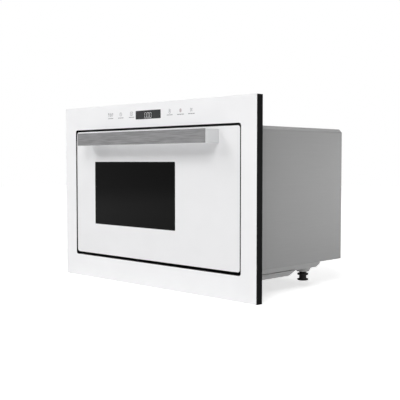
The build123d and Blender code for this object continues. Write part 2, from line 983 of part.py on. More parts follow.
# Outer cover, one sheet bent over the top and both sides, with a flange on the back
cover_screw_x = body_half - cover_screw_inset
cover_screw_low = cover_bottom + cover_screw_ends
cover_screw_high = body_top - cover_screw_ends
cover_screw_rows = (cover_screw_low, (cover_screw_low + cover_screw_high) / 2, cover_screw_high)
cover_screw_places = [(side * cover_screw_x, z) for side in side_places for z in cover_screw_rows]
cover_screw_places += [(turn * cover_screw_pitch, body_top - cover_screw_inset) for turn in (-1, 0, 1)]
with BuildPart() as outer_cover:
    with BuildSketch(facing(plate_back)):
        add(wrap_outline(0))
    extrude(amount=-(body_back - plate_back))
    with BuildSketch(facing(plate_back)):
        add(wrap_outline(cover_sheet))
    extrude(amount=-(panel_back - plate_back), mode=Mode.SUBTRACT)
    with BuildSketch(facing(panel_back - 1)):
        with Locations((0, (cover_bottom + body_top) / 2 - cover_flange)):
            Rectangle(2 * (body_half - cover_flange), body_top - cover_bottom)
    extrude(amount=-(cover_sheet + 2), mode=Mode.SUBTRACT)
    with BuildSketch(facing(panel_back - 1)):
        with Locations(*cover_screw_places):
            Circle(cover_screw_radius + sheet_hole_gap)
    extrude(amount=-(cover_sheet + 2), mode=Mode.SUBTRACT)
finish(outer_cover, "outer_cover")

# Back panel with the fan's intake, the outlet slots and the hole for the cord's gland
shroud_half = fan_radius + fan_clearance + shroud_flange
fan_x = cover_inner - shroud_half - 2
fan_z = guide_z
with BuildPart() as back_panel:
    with BuildSketch(facing(panel_y)):
        add(wrap_outline(cover_sheet + sheet_fit))
        with Locations(*cover_screw_places):
            Circle(cover_screw_radius + sheet_hole_gap, mode=Mode.SUBTRACT)
        with Locations((gland_x, gland_z)):
            Circle(gland_radius + running_fit, mode=Mode.SUBTRACT)
        with Locations((fan_x, fan_z)):
            with GridLocations(back_slot_pitch, 0, intake_slots, 1):
                Rectangle(back_slot, intake_height, mode=Mode.SUBTRACT)
        with Locations((cavity_x, cavity_top - outlet_drop)):
            with GridLocations(back_slot_pitch, 0, outlet_slots, 1):
                Rectangle(back_slot, outlet_height, mode=Mode.SUBTRACT)
    extrude(amount=-back_sheet)
finish(back_panel, "back_panel")

with BuildPart() as cover_screws:
    with BuildSketch(facing(body_back)):
        with Locations(*cover_screw_places):
            Circle(cover_screw_head)
    extrude(amount=-cover_screw_head_height)
    with BuildSketch(facing(panel_y - cover_screw_tip)):
        with Locations(*cover_screw_places):
            Circle(cover_screw_radius)
    extrude(amount=-(body_back - panel_y + cover_screw_tip))
finish(cover_screws, "cover_screws")

# Gland in the back panel for the mains cord
with BuildPart() as cord_gland:
    with BuildSketch(facing(panel_back)):
        with Locations((gland_x, gland_z)):
            Circle(gland_flange_radius)
    extrude(amount=-gland_flange)
    with BuildSketch(facing(panel_back + gland_flange - gland_length)):
        with Locations((gland_x, gland_z)):
            Circle(gland_radius)
    extrude(amount=-(gland_length - gland_flange))
    with BuildSketch(facing(panel_back + gland_flange + 1)):
        with Locations((gland_x, gland_z)):
            Circle(gland_bore_radius)
    extrude(amount=gland_length + 2, mode=Mode.SUBTRACT)
    chamfer(cord_gland.faces().sort_by(Axis.Y)[-1].edges(), gland_edge)
finish(cord_gland, "cord_gland")

# Turntable motor under the cavity's floor, with a bracket tab at each side
motor_top = track_floor - cavity_sheet
shaft_foot = motor_top - motor_socket + shaft_end_gap
with BuildPart() as turntable_motor:
    with BuildSketch(level(motor_top - motor_height)):
        with Locations((cavity_x, cavity_y)):
            Circle(motor_radius)
    extrude(amount=motor_height)
    with BuildSketch(level(motor_top - motor_tab)):
        with Locations((cavity_x, cavity_y)):
            SlotOverall(2 * (motor_radius + motor_tab_reach), motor_tab_width)
    extrude(amount=motor_tab)
    with BuildSketch(level(motor_top - motor_socket)):
        with Locations((cavity_x, cavity_y)):
            Circle(shaft_radius + play)
    extrude(amount=motor_socket + 1, mode=Mode.SUBTRACT)
finish(turntable_motor, "turntable_motor")

# The motor's shaft, with a flat that drives the coupler
shaft_top = cavity_bottom + shaft_rise
with BuildPart() as motor_shaft:
    with BuildSketch(level(shaft_foot)):
        with Locations((cavity_x, cavity_y)):
            Circle(shaft_radius)
    extrude(amount=shaft_top - shaft_foot)
    with BuildSketch(level(track_floor)):
        with Locations((cavity_x + shaft_radius, cavity_y)):
            Rectangle(2, 4 * shaft_radius)
    extrude(amount=shaft_top - track_floor + 1, mode=Mode.SUBTRACT)
finish(motor_shaft, "motor_shaft")

# Coupler with three lobes under the glass plate
coupler_low = track_floor + 2 * rest_gap
coupler_top = glass_plate_z - rest_gap
with BuildPart() as turntable_coupler:
    with BuildSketch(level(coupler_low)):
        with Locations((cavity_x, cavity_y)):
            Circle(coupler_hub_radius)
            with PolarLocations(0, coupler_lobes):
                with Locations((coupler_radius / 2, 0)):
                    Rectangle(coupler_radius, coupler_lobe)
    extrude(amount=coupler_top - coupler_low)
    with BuildSketch(level(coupler_low - 1)):
        with Locations((cavity_x, cavity_y)):
            Circle(shaft_radius + running_fit)
            with Locations((shaft_radius, 0)):
                Rectangle(2 - 2 * running_fit, 4 * shaft_radius, mode=Mode.SUBTRACT)
    extrude(amount=shaft_top - coupler_low + coupler_top_play, mode=Mode.SUBTRACT)
    fillet(turntable_coupler.faces().sort_by(Axis.Z)[-1].edges(), coupler_edge)
finish(turntable_coupler, "turntable_coupler")

# Roller ring with three stub axles, and a wheel on each
ring_z = roller_z
ring_outer = roller_track - roller_width / 2 - ring_gap
roller_angles = (90.0, 210.0, 330.0)
with BuildPart() as roller_ring:
    with BuildSketch(level(ring_z - ring_height / 2)):
        with Locations((cavity_x, cavity_y)):
            Circle(ring_outer)
            Circle(ring_outer - ring_width, mode=Mode.SUBTRACT)
    extrude(amount=ring_height)
    for angle in roller_angles:
        away = Vector(cos(radians(angle)), sin(radians(angle)), 0)
        start = Vector(cavity_x, cavity_y, ring_z) + away * (ring_outer - 1)
        with BuildSketch(Plane(origin=start, z_dir=away)):
            Circle(axle_radius)
        extrude(amount=roller_width + axle_end)
finish(roller_ring, "roller_ring")

for number, angle in enumerate(roller_angles, 1):
    away = Vector(cos(radians(angle)), sin(radians(angle)), 0)
    start = Vector(cavity_x, cavity_y, ring_z) + away * (roller_track - roller_width / 2)
    with BuildPart() as roller:
        with BuildSketch(Plane(origin=start, z_dir=away)):
            Circle(roller_radius)
            Circle(axle_radius + running_fit, mode=Mode.SUBTRACT)
        extrude(amount=roller_width)
        chamfer(roller.edges().filter_by(GeomType.CIRCLE).group_by(SortBy.RADIUS)[-1], roller_edge)
    finish(roller, f"roller_{number}")

# Glass plate, a shallow dish
with BuildPart() as glass_plate:
    with BuildSketch(Plane.XZ.offset(-cavity_y)):
        with BuildLine():
            Polyline(
                (cavity_x, glass_plate_z),
                (cavity_x + plate_radius - plate_rim_width, glass_plate_z),
                (cavity_x + plate_radius, glass_plate_z + plate_rim - plate_thickness / 2),
                (cavity_x + plate_radius, glass_plate_z + plate_rim),
                (cavity_x + plate_radius - 2, glass_plate_z + plate_rim),
                (cavity_x + plate_radius - plate_rim_width - 2, glass_plate_z + plate_thickness),
                (cavity_x, glass_plate_z + plate_thickness),
                close=True,
            )
        make_face()
    revolve(axis=Axis((cavity_x, cavity_y, 0), (0, 0, 1)))
finish(glass_plate, "glass_plate")

# Mica cover over the energy port, inside the cavity
with BuildPart() as port_cover:
    with BuildSketch(side_on(cavity_right - mica)):
        with Locations((port_y, guide_z)):
            RectangleRounded(port_length + mica_lap, port_height + mica_lap, mica_corner)
    extrude(amount=mica)
finish(port_cover, "port_cover")

# Waveguide on the cavity's right wall, open at the port and round the antenna
guide_y = guide_start + guide_length / 2
magnetron_y = guide_start + guide_length - magnetron_inset
guide_outer = wall_right + guide_height
with BuildPart() as waveguide:
    with BuildSketch(side_on(wall_right)):
        with Locations((guide_y, guide_z)):
            Rectangle(guide_length, guide_width)
    extrude(amount=guide_height)
    with BuildSketch(side_on(wall_right)):
        with Locations((guide_y, guide_z)):
            Rectangle(guide_length + 2 * guide_flange, guide_width + 2 * guide_flange)
    extrude(amount=guide_sheet)
    with BuildSketch(side_on(wall_right - 1)):
        with Locations((guide_y, guide_z)):
            Rectangle(guide_length - 2 * guide_sheet, guide_width - 2 * guide_sheet)
    extrude(amount=guide_height - guide_sheet + 1, mode=Mode.SUBTRACT)
    with BuildSketch(side_on(guide_outer - guide_sheet - 1)):
        with Locations((magnetron_y, guide_z)):
            Circle(antenna_radius + antenna_play)
    extrude(amount=guide_sheet + 2, mode=Mode.SUBTRACT)
finish(waveguide, "waveguide")

# Magnetron: mounting plate, yoke, cooling fins round the tube, filter box and antenna
yoke_start = guide_outer + magnetron_plate
yoke_end = yoke_start + yoke_length
filter_end = yoke_end + filter_box
with BuildPart() as magnetron:
    block(
        (guide_outer, magnetron_y - yoke_width / 2, guide_z - yoke_height / 2),
        (yoke_start, magnetron_y + yoke_width / 2, guide_z + yoke_height / 2),
    )
    with BuildSketch(side_on(yoke_start)):
        with Locations((magnetron_y, guide_z)):
            Rectangle(yoke_width, yoke_height - 2 * yoke_inset)
            Rectangle(yoke_width + 2, yoke_height - 2 * (yoke_inset + yoke_sheet), mode=Mode.SUBTRACT)
    extrude(amount=yoke_length)
    with BuildSketch(side_on(yoke_start)):
        with Locations((magnetron_y, guide_z)):
            Circle(anode_radius)
    extrude(amount=yoke_length)
    for count in range(fin_count):
        with BuildSketch(side_on(yoke_start + (count + 1) * yoke_length / (fin_count + 1))):
            with Locations((magnetron_y, guide_z)):
                Rectangle(yoke_width - 2 * fin_inset, yoke_height - 2 * yoke_inset - yoke_sheet)
        extrude(amount=fin)
    block(
        (yoke_end, magnetron_y - yoke_width / 2 + yoke_inset, guide_z - yoke_height / 2 + yoke_inset),
        (filter_end, magnetron_y + yoke_width / 2 - yoke_inset, guide_z + yoke_height / 2 - yoke_inset),
    )
    with BuildSketch(side_on(guide_outer - antenna_length)):
        with Locations((magnetron_y, guide_z)):
            Circle(antenna_radius)
    extrude(amount=antenna_length)
finish(magnetron, "magnetron")

# Fan: a flange on the back panel with a short duct, the motor on two arms, and the blades
fan_front = panel_y - fan_motor_depth - fan_depth - fan_motor_gap
with BuildPart() as fan_shroud:
    with BuildSketch(facing(fan_front - fan_lead)):
        with Locations((fan_x, fan_z)):
            Rectangle(2 * shroud_half, 2 * shroud_half)
            Circle(fan_radius + fan_clearance, mode=Mode.SUBTRACT)
    extrude(amount=-shroud_wall)
    with BuildSketch(facing(fan_front - fan_lead)):
        with Locations((fan_x, fan_z)):
            Circle(fan_radius + fan_clearance + shroud_wall)
            Circle(fan_radius + fan_clearance, mode=Mode.SUBTRACT)
    extrude(amount=-(panel_y - fan_front + fan_lead))
finish(fan_shroud, "fan_shroud")

with BuildPart() as fan_motor:
    with BuildSketch(facing(panel_y - fan_motor_depth)):
        with Locations((fan_x, fan_z)):
            Rectangle(fan_motor_width, fan_motor_height)
            with Locations((0, 0)):
                Circle(fan_shaft_radius + play, mode=Mode.SUBTRACT)
    extrude(amount=-fan_motor_depth)
    with BuildSketch(facing(panel_y - 2)):
        with Locations((fan_x, fan_z)):
            Rectangle(2 * (fan_radius + fan_clearance - play), fan_arm)
            Circle(fan_shaft_radius + play, mode=Mode.SUBTRACT)
    extrude(amount=-2)
finish(fan_motor, "fan_motor")

# Each blade is lofted from its root to its tip, cambered, and flatter at the tip
with BuildPart(mode=Mode.PRIVATE) as blades:
    for count in range(fan_blades):
        turn = radians(360 * count / fan_blades)
        away = Vector(cos(turn), 0, sin(turn))
        across = Vector(-sin(turn), 0, cos(turn))
        for radius, pitch, chord in (
            (fan_hub_radius - fan_root, fan_root_pitch, fan_root_chord),
            (fan_radius + fan_root, fan_tip_pitch, fan_tip_chord),
        ):
            lean = across * cos(radians(pitch)) + Vector(0, 1, 0) * sin(radians(pitch))
            middle = Vector(fan_x, fan_front + fan_depth / 2, fan_z) + away * radius
            with BuildSketch(Plane(origin=middle, x_dir=lean, z_dir=away)):
                with BuildLine():
                    Polyline((chord / 2, 0), (chord / 2, fan_blade_sheet))
                    ThreePointArc(
                        (chord / 2, fan_blade_sheet),
                        (0, fan_camber + fan_blade_sheet),
                        (-chord / 2, fan_blade_sheet),
                    )
                    Polyline((-chord / 2, fan_blade_sheet), (-chord / 2, 0))
                    ThreePointArc((-chord / 2, 0), (0, fan_camber), (chord / 2, 0))
                make_face()
        loft(ruled=True)
    with BuildSketch(facing(fan_front)):
        with Locations((fan_x, fan_z)):
            Circle(fan_radius)
    extrude(amount=-fan_depth, mode=Mode.INTERSECT)
with BuildPart() as fan_blade:
    with BuildSketch(facing(fan_front)):
        with Locations((fan_x, fan_z)):
            Circle(fan_hub_radius)
    extrude(amount=-fan_depth)
    fillet(fan_blade.faces().sort_by(Axis.Y)[0].edges(), fan_nose)
    with BuildSketch(facing(fan_front + fan_depth)):
        with Locations((fan_x, fan_z)):
            Circle(fan_shaft_radius)
    extrude(amount=-(fan_motor_depth + fan_shaft_reach))
    add(blades.part)
finish(fan_blade, "fan_blade")

# High-voltage transformer: a laminated core on the pan, and its windings round the middle limb
core_x = (wall_right + cover_inner) / 2
core_low = well_floor + pan_sheet
core_foot = 2.0
limb = core_width / core_limbs
with BuildPart() as transformer_core:
    with BuildSketch(facing(core_start)):
        with Locations((core_x, core_low + core_foot + core_height / 2)):
            Rectangle(core_width, core_height)
            with Locations((-limb, 0), (limb, 0)):
                Rectangle(limb, core_height - 2 * limb, mode=Mode.SUBTRACT)
    extrude(amount=-core_length)
    with BuildSketch(level(core_low)):
        with Locations((core_x, core_start + core_length / 2)):
            Rectangle(core_width + 2 * core_foot_reach, core_length + 2 * core_foot_lap)
    extrude(amount=core_foot)
finish(transformer_core, "transformer_core")

coil_z = core_low + core_foot + core_height / 2
with BuildPart() as transformer_coils:
    with BuildSketch(level(coil_z - core_height / 2 + limb + coil_gap)):
        with Locations((core_x, core_start + core_length / 2)):
            RectangleRounded(3 * limb - 2 * coil_gap, core_length + 2 * coil_overhang, coil_corner)
            Rectangle(limb + 2 * coil_gap, core_length + 2 * coil_gap, mode=Mode.SUBTRACT)
    extrude(amount=core_height - 2 * limb - 2 * coil_gap)
finish(transformer_coils, "transformer_coils")

# Capacitor can on the pan, with two terminals
capacitor_low = pan_floor + pan_sheet
with BuildPart() as capacitor:
    with BuildSketch(level(capacitor_low)):
        with Locations((core_x, capacitor_y)):
            SlotOverall(capacitor_width, capacitor_depth)
    extrude(amount=capacitor_height)
    with BuildSketch(level(capacitor_low + capacitor_height)):
        with Locations((core_x, capacitor_y)):
            with GridLocations(terminal_spacing, 0, 2, 1):
                Rectangle(2, terminal)
    extrude(amount=terminal)
finish(capacitor, "capacitor")

# Power board behind the front plate, with relays and a small transformer on it
peg_rows = 2 * peg_inset_z
power_x = core_x
power_z = guide_z + power_board_rise
with BuildPart() as power_board:
    with BuildSketch(facing(plate_back)):
        with Locations((power_x, power_z)):
            with GridLocations(power_board_width - peg_rows, power_board_height - peg_rows, 2, 2):
                Circle(peg_radius)
    extrude(amount=-power_board_stand_off)
    power_face = plate_back + power_board_stand_off + board
    block(
        (power_x - power_board_width / 2, power_face - board, power_z - power_board_height / 2),
        (power_x + power_board_width / 2, power_face, power_z + power_board_height / 2),
    )
    for x, z, width, height, deep in power_board_parts:
        block(
            (power_x + x - width / 2, power_face, power_z + z - height / 2),
            (power_x + x + width / 2, power_face + deep, power_z + z + height / 2),
        )
finish(power_board, "power_board")

# Mains filter board on the back panel
filter_x = wall_right + filter_board_inset + filter_board_width / 2
filter_z = cover_bottom + filter_board_lift + filter_board_height / 2
with BuildPart() as filter_board:
    with BuildSketch(facing(panel_y)):
        with Locations((filter_x, filter_z)):
            with GridLocations(filter_board_width - peg_rows, filter_board_height - peg_rows, 2, 2):
                Circle(peg_radius)
    extrude(amount=filter_board_stand_off)
    filter_face = panel_y - filter_board_stand_off - board
    block(
        (filter_x - filter_board_width / 2, filter_face, filter_z - filter_board_height / 2),
        (filter_x + filter_board_width / 2, filter_face + board, filter_z + filter_board_height / 2),
    )
    for x, z, width, height, deep in filter_board_parts:
        block(
            (filter_x + x - width / 2, filter_face - deep, filter_z + z - height / 2),
            (filter_x + x + width / 2, filter_face, filter_z + z + height / 2),
        )
finish(filter_board, "filter_board")

# Oven lamp outside the cavity's lit holes: a holder on the wall, and its bulb
with BuildPart() as lamp_holder:
    block(
        (wall_right, lamp_y - lamp_width / 2, lamp_z - lamp_width / 2),
        (wall_right + lamp_reach, lamp_y + lamp_width / 2, lamp_z + lamp_width / 2),
    )
    block(
        (wall_right - 1, lamp_y - lamp_width / 2 + lamp_wall, lamp_z - lamp_width / 2 + lamp_wall),
        (
            wall_right + lamp_reach - lamp_wall,
            lamp_y + lamp_width / 2 - lamp_wall,
            lamp_z + lamp_width / 2 - lamp_wall,
        ),
        mode=Mode.SUBTRACT,
    )
finish(lamp_holder, "lamp_holder")

lamp_cap = wall_right + lamp_reach - lamp_wall
bulb_start = lamp_cap - bulb_neck
bulb_middle = bulb_start - sqrt(bulb_radius**2 - bulb_neck_radius**2)
with BuildPart() as lamp_bulb:
    with BuildSketch(level(lamp_z)):
        with BuildLine():
            Polyline(
                (bulb_middle - bulb_radius, lamp_y),
                (lamp_cap, lamp_y),
                (lamp_cap, lamp_y + bulb_neck_radius),
                (bulb_start, lamp_y + bulb_neck_radius),
            )
            ThreePointArc(
                (bulb_start, lamp_y + bulb_neck_radius),
                (bulb_middle, lamp_y + bulb_radius),
                (bulb_middle - bulb_radius, lamp_y),
            )
        make_face()
    revolve(axis=Axis((0, lamp_y, lamp_z), (1, 0, 0)))
finish(lamp_bulb, "lamp_bulb")

# Latch housings behind the plate's hook slots, and the door switches under them
latch_near = hook_x - latch_inset
latch_far = carrier_half - latch_edge_gap
latch_low = nose_low - latch_below
latch_high = hook_high + latch_above
for side, name in zip(side_places, ("latch_housing_left", "latch_housing_right")):
    with BuildPart() as housing:
        with BuildSketch(facing(plate_back)):
            slot_between(latch_near, latch_far, latch_low, latch_high, side)
        extrude(amount=-latch_depth)
        with BuildSketch(facing(plate_back - 1)):
            slot_between(
                hook_x - hook_play,
                hook_x + hook + hook_play,
                nose_low - hook_play,
                hook_high + hook_rise,
                side,
            )
        extrude(amount=-(latch_depth - latch_wall + 1), mode=Mode.SUBTRACT)
    finish(housing, name)

with BuildPart() as door_switches:
    for side, drops in ((-1, (0,)), (1, (0, 1))):
        for drop in drops:
            high = latch_low - drop * (switch_height + rest_gap)
            with BuildSketch(facing(plate_back + 2)):
                slot_between(hook_x - switch_lap, hook_x + hook + 2, high - switch_height, high, side)
            extrude(amount=-switch_depth)
finish(door_switches, "door_switches")

# Hinge brackets: a flange welded behind the plate and an ear through it to the pin
for side, name in zip(side_places, ("hinge_bracket_left", "hinge_bracket_right")):
    with BuildPart() as bracket:
        with BuildSketch(facing(plate_back)):
            slot_between(
                ear_x + ear_sheet - bracket_width,
                ear_x + ear_sheet,
                pivot_z - ear_radius - bracket_drop,
                pivot_z - ear_radius - bracket_drop + bracket_height,
                side,
            )
        extrude(amount=-bracket_sheet)
        start = ear_x if side > 0 else -ear_x - ear_sheet
        with BuildSketch(side_on(start)):
            with Locations((pivot_y, pivot_z)):
                Circle(ear_radius)
            with Locations(((pivot_y + plate_back + bracket_sheet) / 2, pivot_z)):
                Rectangle(plate_back + bracket_sheet - pivot_y, 2 * ear_radius)
            with Locations((pivot_y, pivot_z)):
                Circle(pin_radius + running_fit, mode=Mode.SUBTRACT)
        extrude(amount=ear_sheet)
    finish(bracket, name)

with BuildPart() as hinge_pins:
    for side in side_places:
        with BuildSketch(side_on(side * (ear_x - pin_head))):
            with Locations((pivot_y, pivot_z)):
                Circle(pin_head_radius)
        extrude(amount=side * pin_head)
        with BuildSketch(side_on(side * ear_x)):
            with Locations((pivot_y, pivot_z)):
                Circle(pin_radius)
        extrude(amount=side * (ear_sheet + ear_gap + leaf_sheet - play))
finish(hinge_pins, "hinge_pins")

# Door glass, white with a clear window, with holes for the handle's screws
handle_screw_x = handle_length / 2 - handle_post / 2
handle_screws_at = [(side * handle_screw_x, handle_z) for side in side_places]
with BuildPart() as door_glass:
    with BuildSketch(facing(door_front)):
        with Locations((0, door_mid)):
            RectangleRounded(2 * door_half, door_height, door_radius)
        with Locations(*handle_screws_at):
            Circle(handle_screw_radius + 1, mode=Mode.SUBTRACT)
    extrude(amount=-glass)
    chamfer(door_glass.faces().sort_by(Axis.Y)[0].outer_wire().edges(), glass_arris)
finish(door_glass, "door_glass")

# Door frame, a moulded tray behind the glass with a window, ribs and pockets for the hinges
choke_left = cavity_left - choke_lap
choke_right = cavity_right + choke_lap
choke_low = cavity_bottom - choke_lap
choke_high = cavity_top + choke_lap
choke_x = (choke_left + choke_right) / 2
choke_z = (choke_low + choke_high) / 2
channel = choke_lap - choke_inner_lap
screw_hole = screw_radius + running_fit
choke_screws_at = [
    (x, z)
    for x in (choke_left + channel / 2, choke_right - channel / 2)
    for z in (choke_low + channel / 2, choke_z + choke_screw_rise, choke_high - channel / 2)
]
leaf_low = carrier_bottom + carrier_radius
leaf_front = carrier_back + play
leaf_screws_at = [(leaf_front + leaf_screw_inset, pivot_z + rise) for rise in leaf_screw_rises]
pocket_near = ear_x - pin_head - pocket_gap
pocket_high = pivot_z + ear_radius + pocket_gap
rib_start = choke_right + door_rib_gap
rib_end = carrier_inner - door_rib_side
rib_foot = carrier_bottom + door_rib_foot
rib_head = carrier_top - door_rib_head
with BuildPart() as door_frame:
    with BuildSketch(facing(door_glass_back)):
        with Locations((0, (carrier_bottom + carrier_top) / 2)):
            RectangleRounded(2 * carrier_half, carrier_height, carrier_radius)
    extrude(amount=-(door_split - door_glass_back))
    with BuildSketch(facing(carrier_back)):
        with Locations((0, (carrier_bottom + carrier_top) / 2)):
            RectangleRounded(
                2 * carrier_inner, carrier_height - 2 * carrier_wall, carrier_radius - carrier_wall
            )
    extrude(amount=-(door_split - carrier_back + 1), mode=Mode.SUBTRACT)
    # Ribs stiffen the side that the choke doesn't cover
    with BuildSketch(facing(carrier_back)):
        with Locations(((rib_start + rib_end) / 2, (rib_foot + rib_head) / 2)):
            with GridLocations((rib_end - rib_start) / (rib_columns - 1), 0, rib_columns, 1):
                Rectangle(rib, rib_head - rib_foot)
            with GridLocations(0, (rib_head - rib_foot) / rib_rows, 1, rib_rows):
                Rectangle(rib_end - rib_start, rib)
    extrude(amount=-(door_split - carrier_back))
    with BuildSketch(facing(door_glass_back - 1)):
        with Locations((window_x, window_z)):
            RectangleRounded(window_width + 2 * window_margin, window_height + 2 * window_margin, pane_corner)
        with Locations(*handle_screws_at):
            Circle(handle_screw_radius + screw_play)
        for side in side_places:
            slot_between(pocket_near, leaf_x, carrier_bottom - 1, pocket_high, side)
    extrude(amount=-(door_split - door_glass_back + 2), mode=Mode.SUBTRACT)
    with BuildSketch(facing(carrier_back - screw_grip)):
        with Locations(*choke_screws_at):
            Circle(screw_hole)
    extrude(amount=-(screw_grip + 1), mode=Mode.SUBTRACT)
    for side in side_places:
        # The pin that the latch hook turns on, and the blind holes for the hinge leaf's screws
        with BuildSketch(side_on(side * (hook_x - hook_side_play))):
            with Locations((hook_pivot_y, hook_z)):
                Circle(hook_pin_radius)
        extrude(amount=side * (carrier_inner - hook_x + hook_side_play + 0.5))
        with BuildSketch(side_on(side * (carrier_inner - 1))):
            with Locations(*leaf_screws_at):
                Circle(screw_hole)
        extrude(amount=side * (screw_grip + 1), mode=Mode.SUBTRACT)
finish(door_frame, "door_frame")

# Choke: a channel round the cavity's opening whose lip is a comb of fingers
choke_width = choke_right - choke_left
choke_height = choke_high - choke_low
panel_width = cavity_width + 2 * choke_inner_lap
panel_height = cavity_height + 2 * choke_inner_lap
pane_front = door_back - cover_web - inner_pane
view_width = window_width + 2 * inner_view_margin
view_height = window_height + 2 * inner_view_margin
view_z = choke_z
with BuildPart() as choke_frame:
    with BuildSketch(facing(carrier_back)):
        with Locations((choke_x, choke_z)):
            RectangleRounded(choke_width, choke_height, choke_radius)
    extrude(amount=-(pane_front - carrier_back))
    with BuildSketch(facing(carrier_back + choke_sheet)):
        with Locations((choke_x, choke_z)):
            RectangleRounded(
                choke_width - 2 * choke_sheet, choke_height - 2 * choke_sheet, choke_radius - choke_sheet
            )
            RectangleRounded(panel_width, panel_height, choke_radius, mode=Mode.SUBTRACT)
    extrude(amount=-(pane_front - carrier_back - 2 * choke_sheet), mode=Mode.SUBTRACT)
    with BuildSketch(facing(pane_front - choke_sheet - 1)):
        with Locations((choke_x, choke_z)):
            RectangleRounded(
                choke_width - 2 * choke_lip, choke_height - 2 * choke_lip, choke_radius - choke_sheet
            )
            RectangleRounded(panel_width, panel_height, choke_radius, mode=Mode.SUBTRACT)
    extrude(amount=-(choke_sheet + 2), mode=Mode.SUBTRACT)
    # The pressed panel inside the channel is hollow from the front
    with BuildSketch(facing(carrier_back - 1)):
        with Locations((choke_x, choke_z)):
            RectangleRounded(
                panel_width - 2 * choke_sheet, panel_height - 2 * choke_sheet, choke_radius - choke_sheet
            )
    extrude(amount=-(pane_front - carrier_back - choke_sheet + 1), mode=Mode.SUBTRACT)
    with BuildSketch(facing(carrier_back - 1)):
        with Locations((window_x, view_z)):
            RectangleRounded(view_width, view_height, pane_corner)
    extrude(amount=-(pane_front - carrier_back + 2), mode=Mode.SUBTRACT)
    with BuildSketch(facing(carrier_back - 1)):
        with Locations((-handle_screw_x, handle_z)):
            Circle(handle_screw_head + 1)
        with Locations(*choke_screws_at):
            Circle(screw_hole + screw_play)
    extrude(amount=-(choke_sheet + 2), mode=Mode.SUBTRACT)
    # Comb slots through the lip and the top of the outer wall
    across = int((choke_width - comb_ends) / comb_pitch)
    up = int((choke_height - comb_ends) / comb_pitch)
    comb_y = pane_front - comb_depth
    with BuildSketch(facing(comb_y)):
        with Locations((choke_x, choke_z)):
            with GridLocations(comb_pitch, choke_height - choke_lip, across, 2):
                Rectangle(comb_slot, choke_lip + 1)
            with GridLocations(choke_width - choke_lip, comb_pitch, 2, up):
                Rectangle(choke_lip + 1, comb_slot)
    extrude(amount=-(comb_depth + 1), mode=Mode.SUBTRACT)
finish(choke_frame, "choke_frame")

# Screen welded on the front of the choke's panel; its fine holes are too many for solids
screen_y = pane_front - choke_sheet
with BuildPart() as screen:
    with BuildSketch(facing(screen_y - screen_sheet)):
        with Locations((window_x, view_z)):
            Rectangle(view_width + 2 * screen_lap, view_height + 2 * screen_lap)
    extrude(amount=-screen_sheet)
finish(screen, "screen")

with BuildPart() as inner_window:
    with BuildSketch(facing(pane_front)):
        with Locations((window_x, view_z)):
            Rectangle(view_width + 2 * pane_lap, view_height + 2 * pane_lap)
    extrude(amount=-inner_pane)
finish(inner_window, "inner_window")

# Moulded cover on the back of the door, bevelled along the bottom so that it clears the plate
with BuildPart() as door_cover:
    with BuildSketch(facing(door_split)):
        with Locations((0, (carrier_bottom + carrier_top) / 2)):
            RectangleRounded(2 * carrier_half, carrier_height, carrier_radius)
    extrude(amount=-(door_back - door_split))
    chamfer(door_cover.faces().sort_by(Axis.Y)[-1].edges(), cover_edge)
    with BuildSketch(side_on(-door_half)):
        Polygon(
            (door_back - cover_bevel - 1, carrier_bottom - 1),
            (door_back + 1, carrier_bottom - 1),
            (door_back + 1, carrier_bottom + cover_bevel + 1),
            align=None,
        )
    extrude(amount=2 * door_half, mode=Mode.SUBTRACT)
    with BuildSketch(side_on(-carrier_inner)):
        Polygon(
            (door_split - 1, carrier_bottom + carrier_wall),
            (door_back - cover_bevel - 1, carrier_bottom + carrier_wall),
            (door_back - cover_web, carrier_bottom + cover_bevel + 1),
            (door_back - cover_web, carrier_top - carrier_wall),
            (door_split - 1, carrier_top - carrier_wall),
            align=None,
        )
    extrude(amount=2 * carrier_inner, mode=Mode.SUBTRACT)
    with BuildSketch(facing(door_back - cover_web - 1)):
        with Locations((window_x, view_z)):
            RectangleRounded(view_width, view_height, view_corner)
        for side in side_places:
            slot_between(hook_x - 1, hook_x + hook + 1, nose_low - 2, hook_high + hook_head_room, side)
    extrude(amount=-(cover_web + 2), mode=Mode.SUBTRACT)
    with BuildSketch(facing(door_split - 1)):
        for side in side_places:
            slot_between(pocket_near, leaf_x, carrier_bottom - 1, pocket_high, side)
    extrude(amount=-(door_back - door_split + 2), mode=Mode.SUBTRACT)
finish(door_cover, "door_cover")

# Handle: a bar on two end posts, with a stainless strip on its face
handle_face = door_front - handle_reach
handle_body_face = handle_face + handle_strip_sheet
handle_low = handle_z - handle_height / 2
with BuildPart() as handle_body:
    with BuildSketch(level(handle_low)):
        with Locations((0, (handle_body_face + door_front) / 2)):
            Rectangle(handle_length, door_front - handle_body_face)
        gap_depth = door_front - handle_body_face - handle_bar
        with Locations((0, door_front - gap_depth / 2)):
            Rectangle(handle_length - 2 * handle_post, gap_depth, mode=Mode.SUBTRACT)
    extrude(amount=handle_height)
    bar_back = handle_body_face + handle_bar
    upright = handle_body.edges().filter_by(Axis.Z)
    fillet(upright.filter_by_position(Axis.Y, bar_back - pick, bar_back + pick), handle_inner_radius)
    chamfer(handle_body.faces().sort_by(Axis.X)[0].edges().filter_by(Axis.Y), handle_edge)
    chamfer(handle_body.faces().sort_by(Axis.X)[-1].edges().filter_by(Axis.Y), handle_edge)
    with BuildSketch(facing(door_front)):
        with Locations(*handle_screws_at):
            Circle(handle_screw_radius + running_fit)
    extrude(amount=handle_screw_grip + 1, mode=Mode.SUBTRACT)
finish(handle_body, "handle_body")

with BuildPart() as handle_strip:
    with BuildSketch(facing(handle_face)):
        with Locations((0, handle_z)):
            Rectangle(handle_length, handle_height)
    extrude(amount=-handle_strip_sheet)
    chamfer(handle_strip.faces().sort_by(Axis.Y)[0].edges(), strip_arris)
finish(handle_strip, "handle_strip")

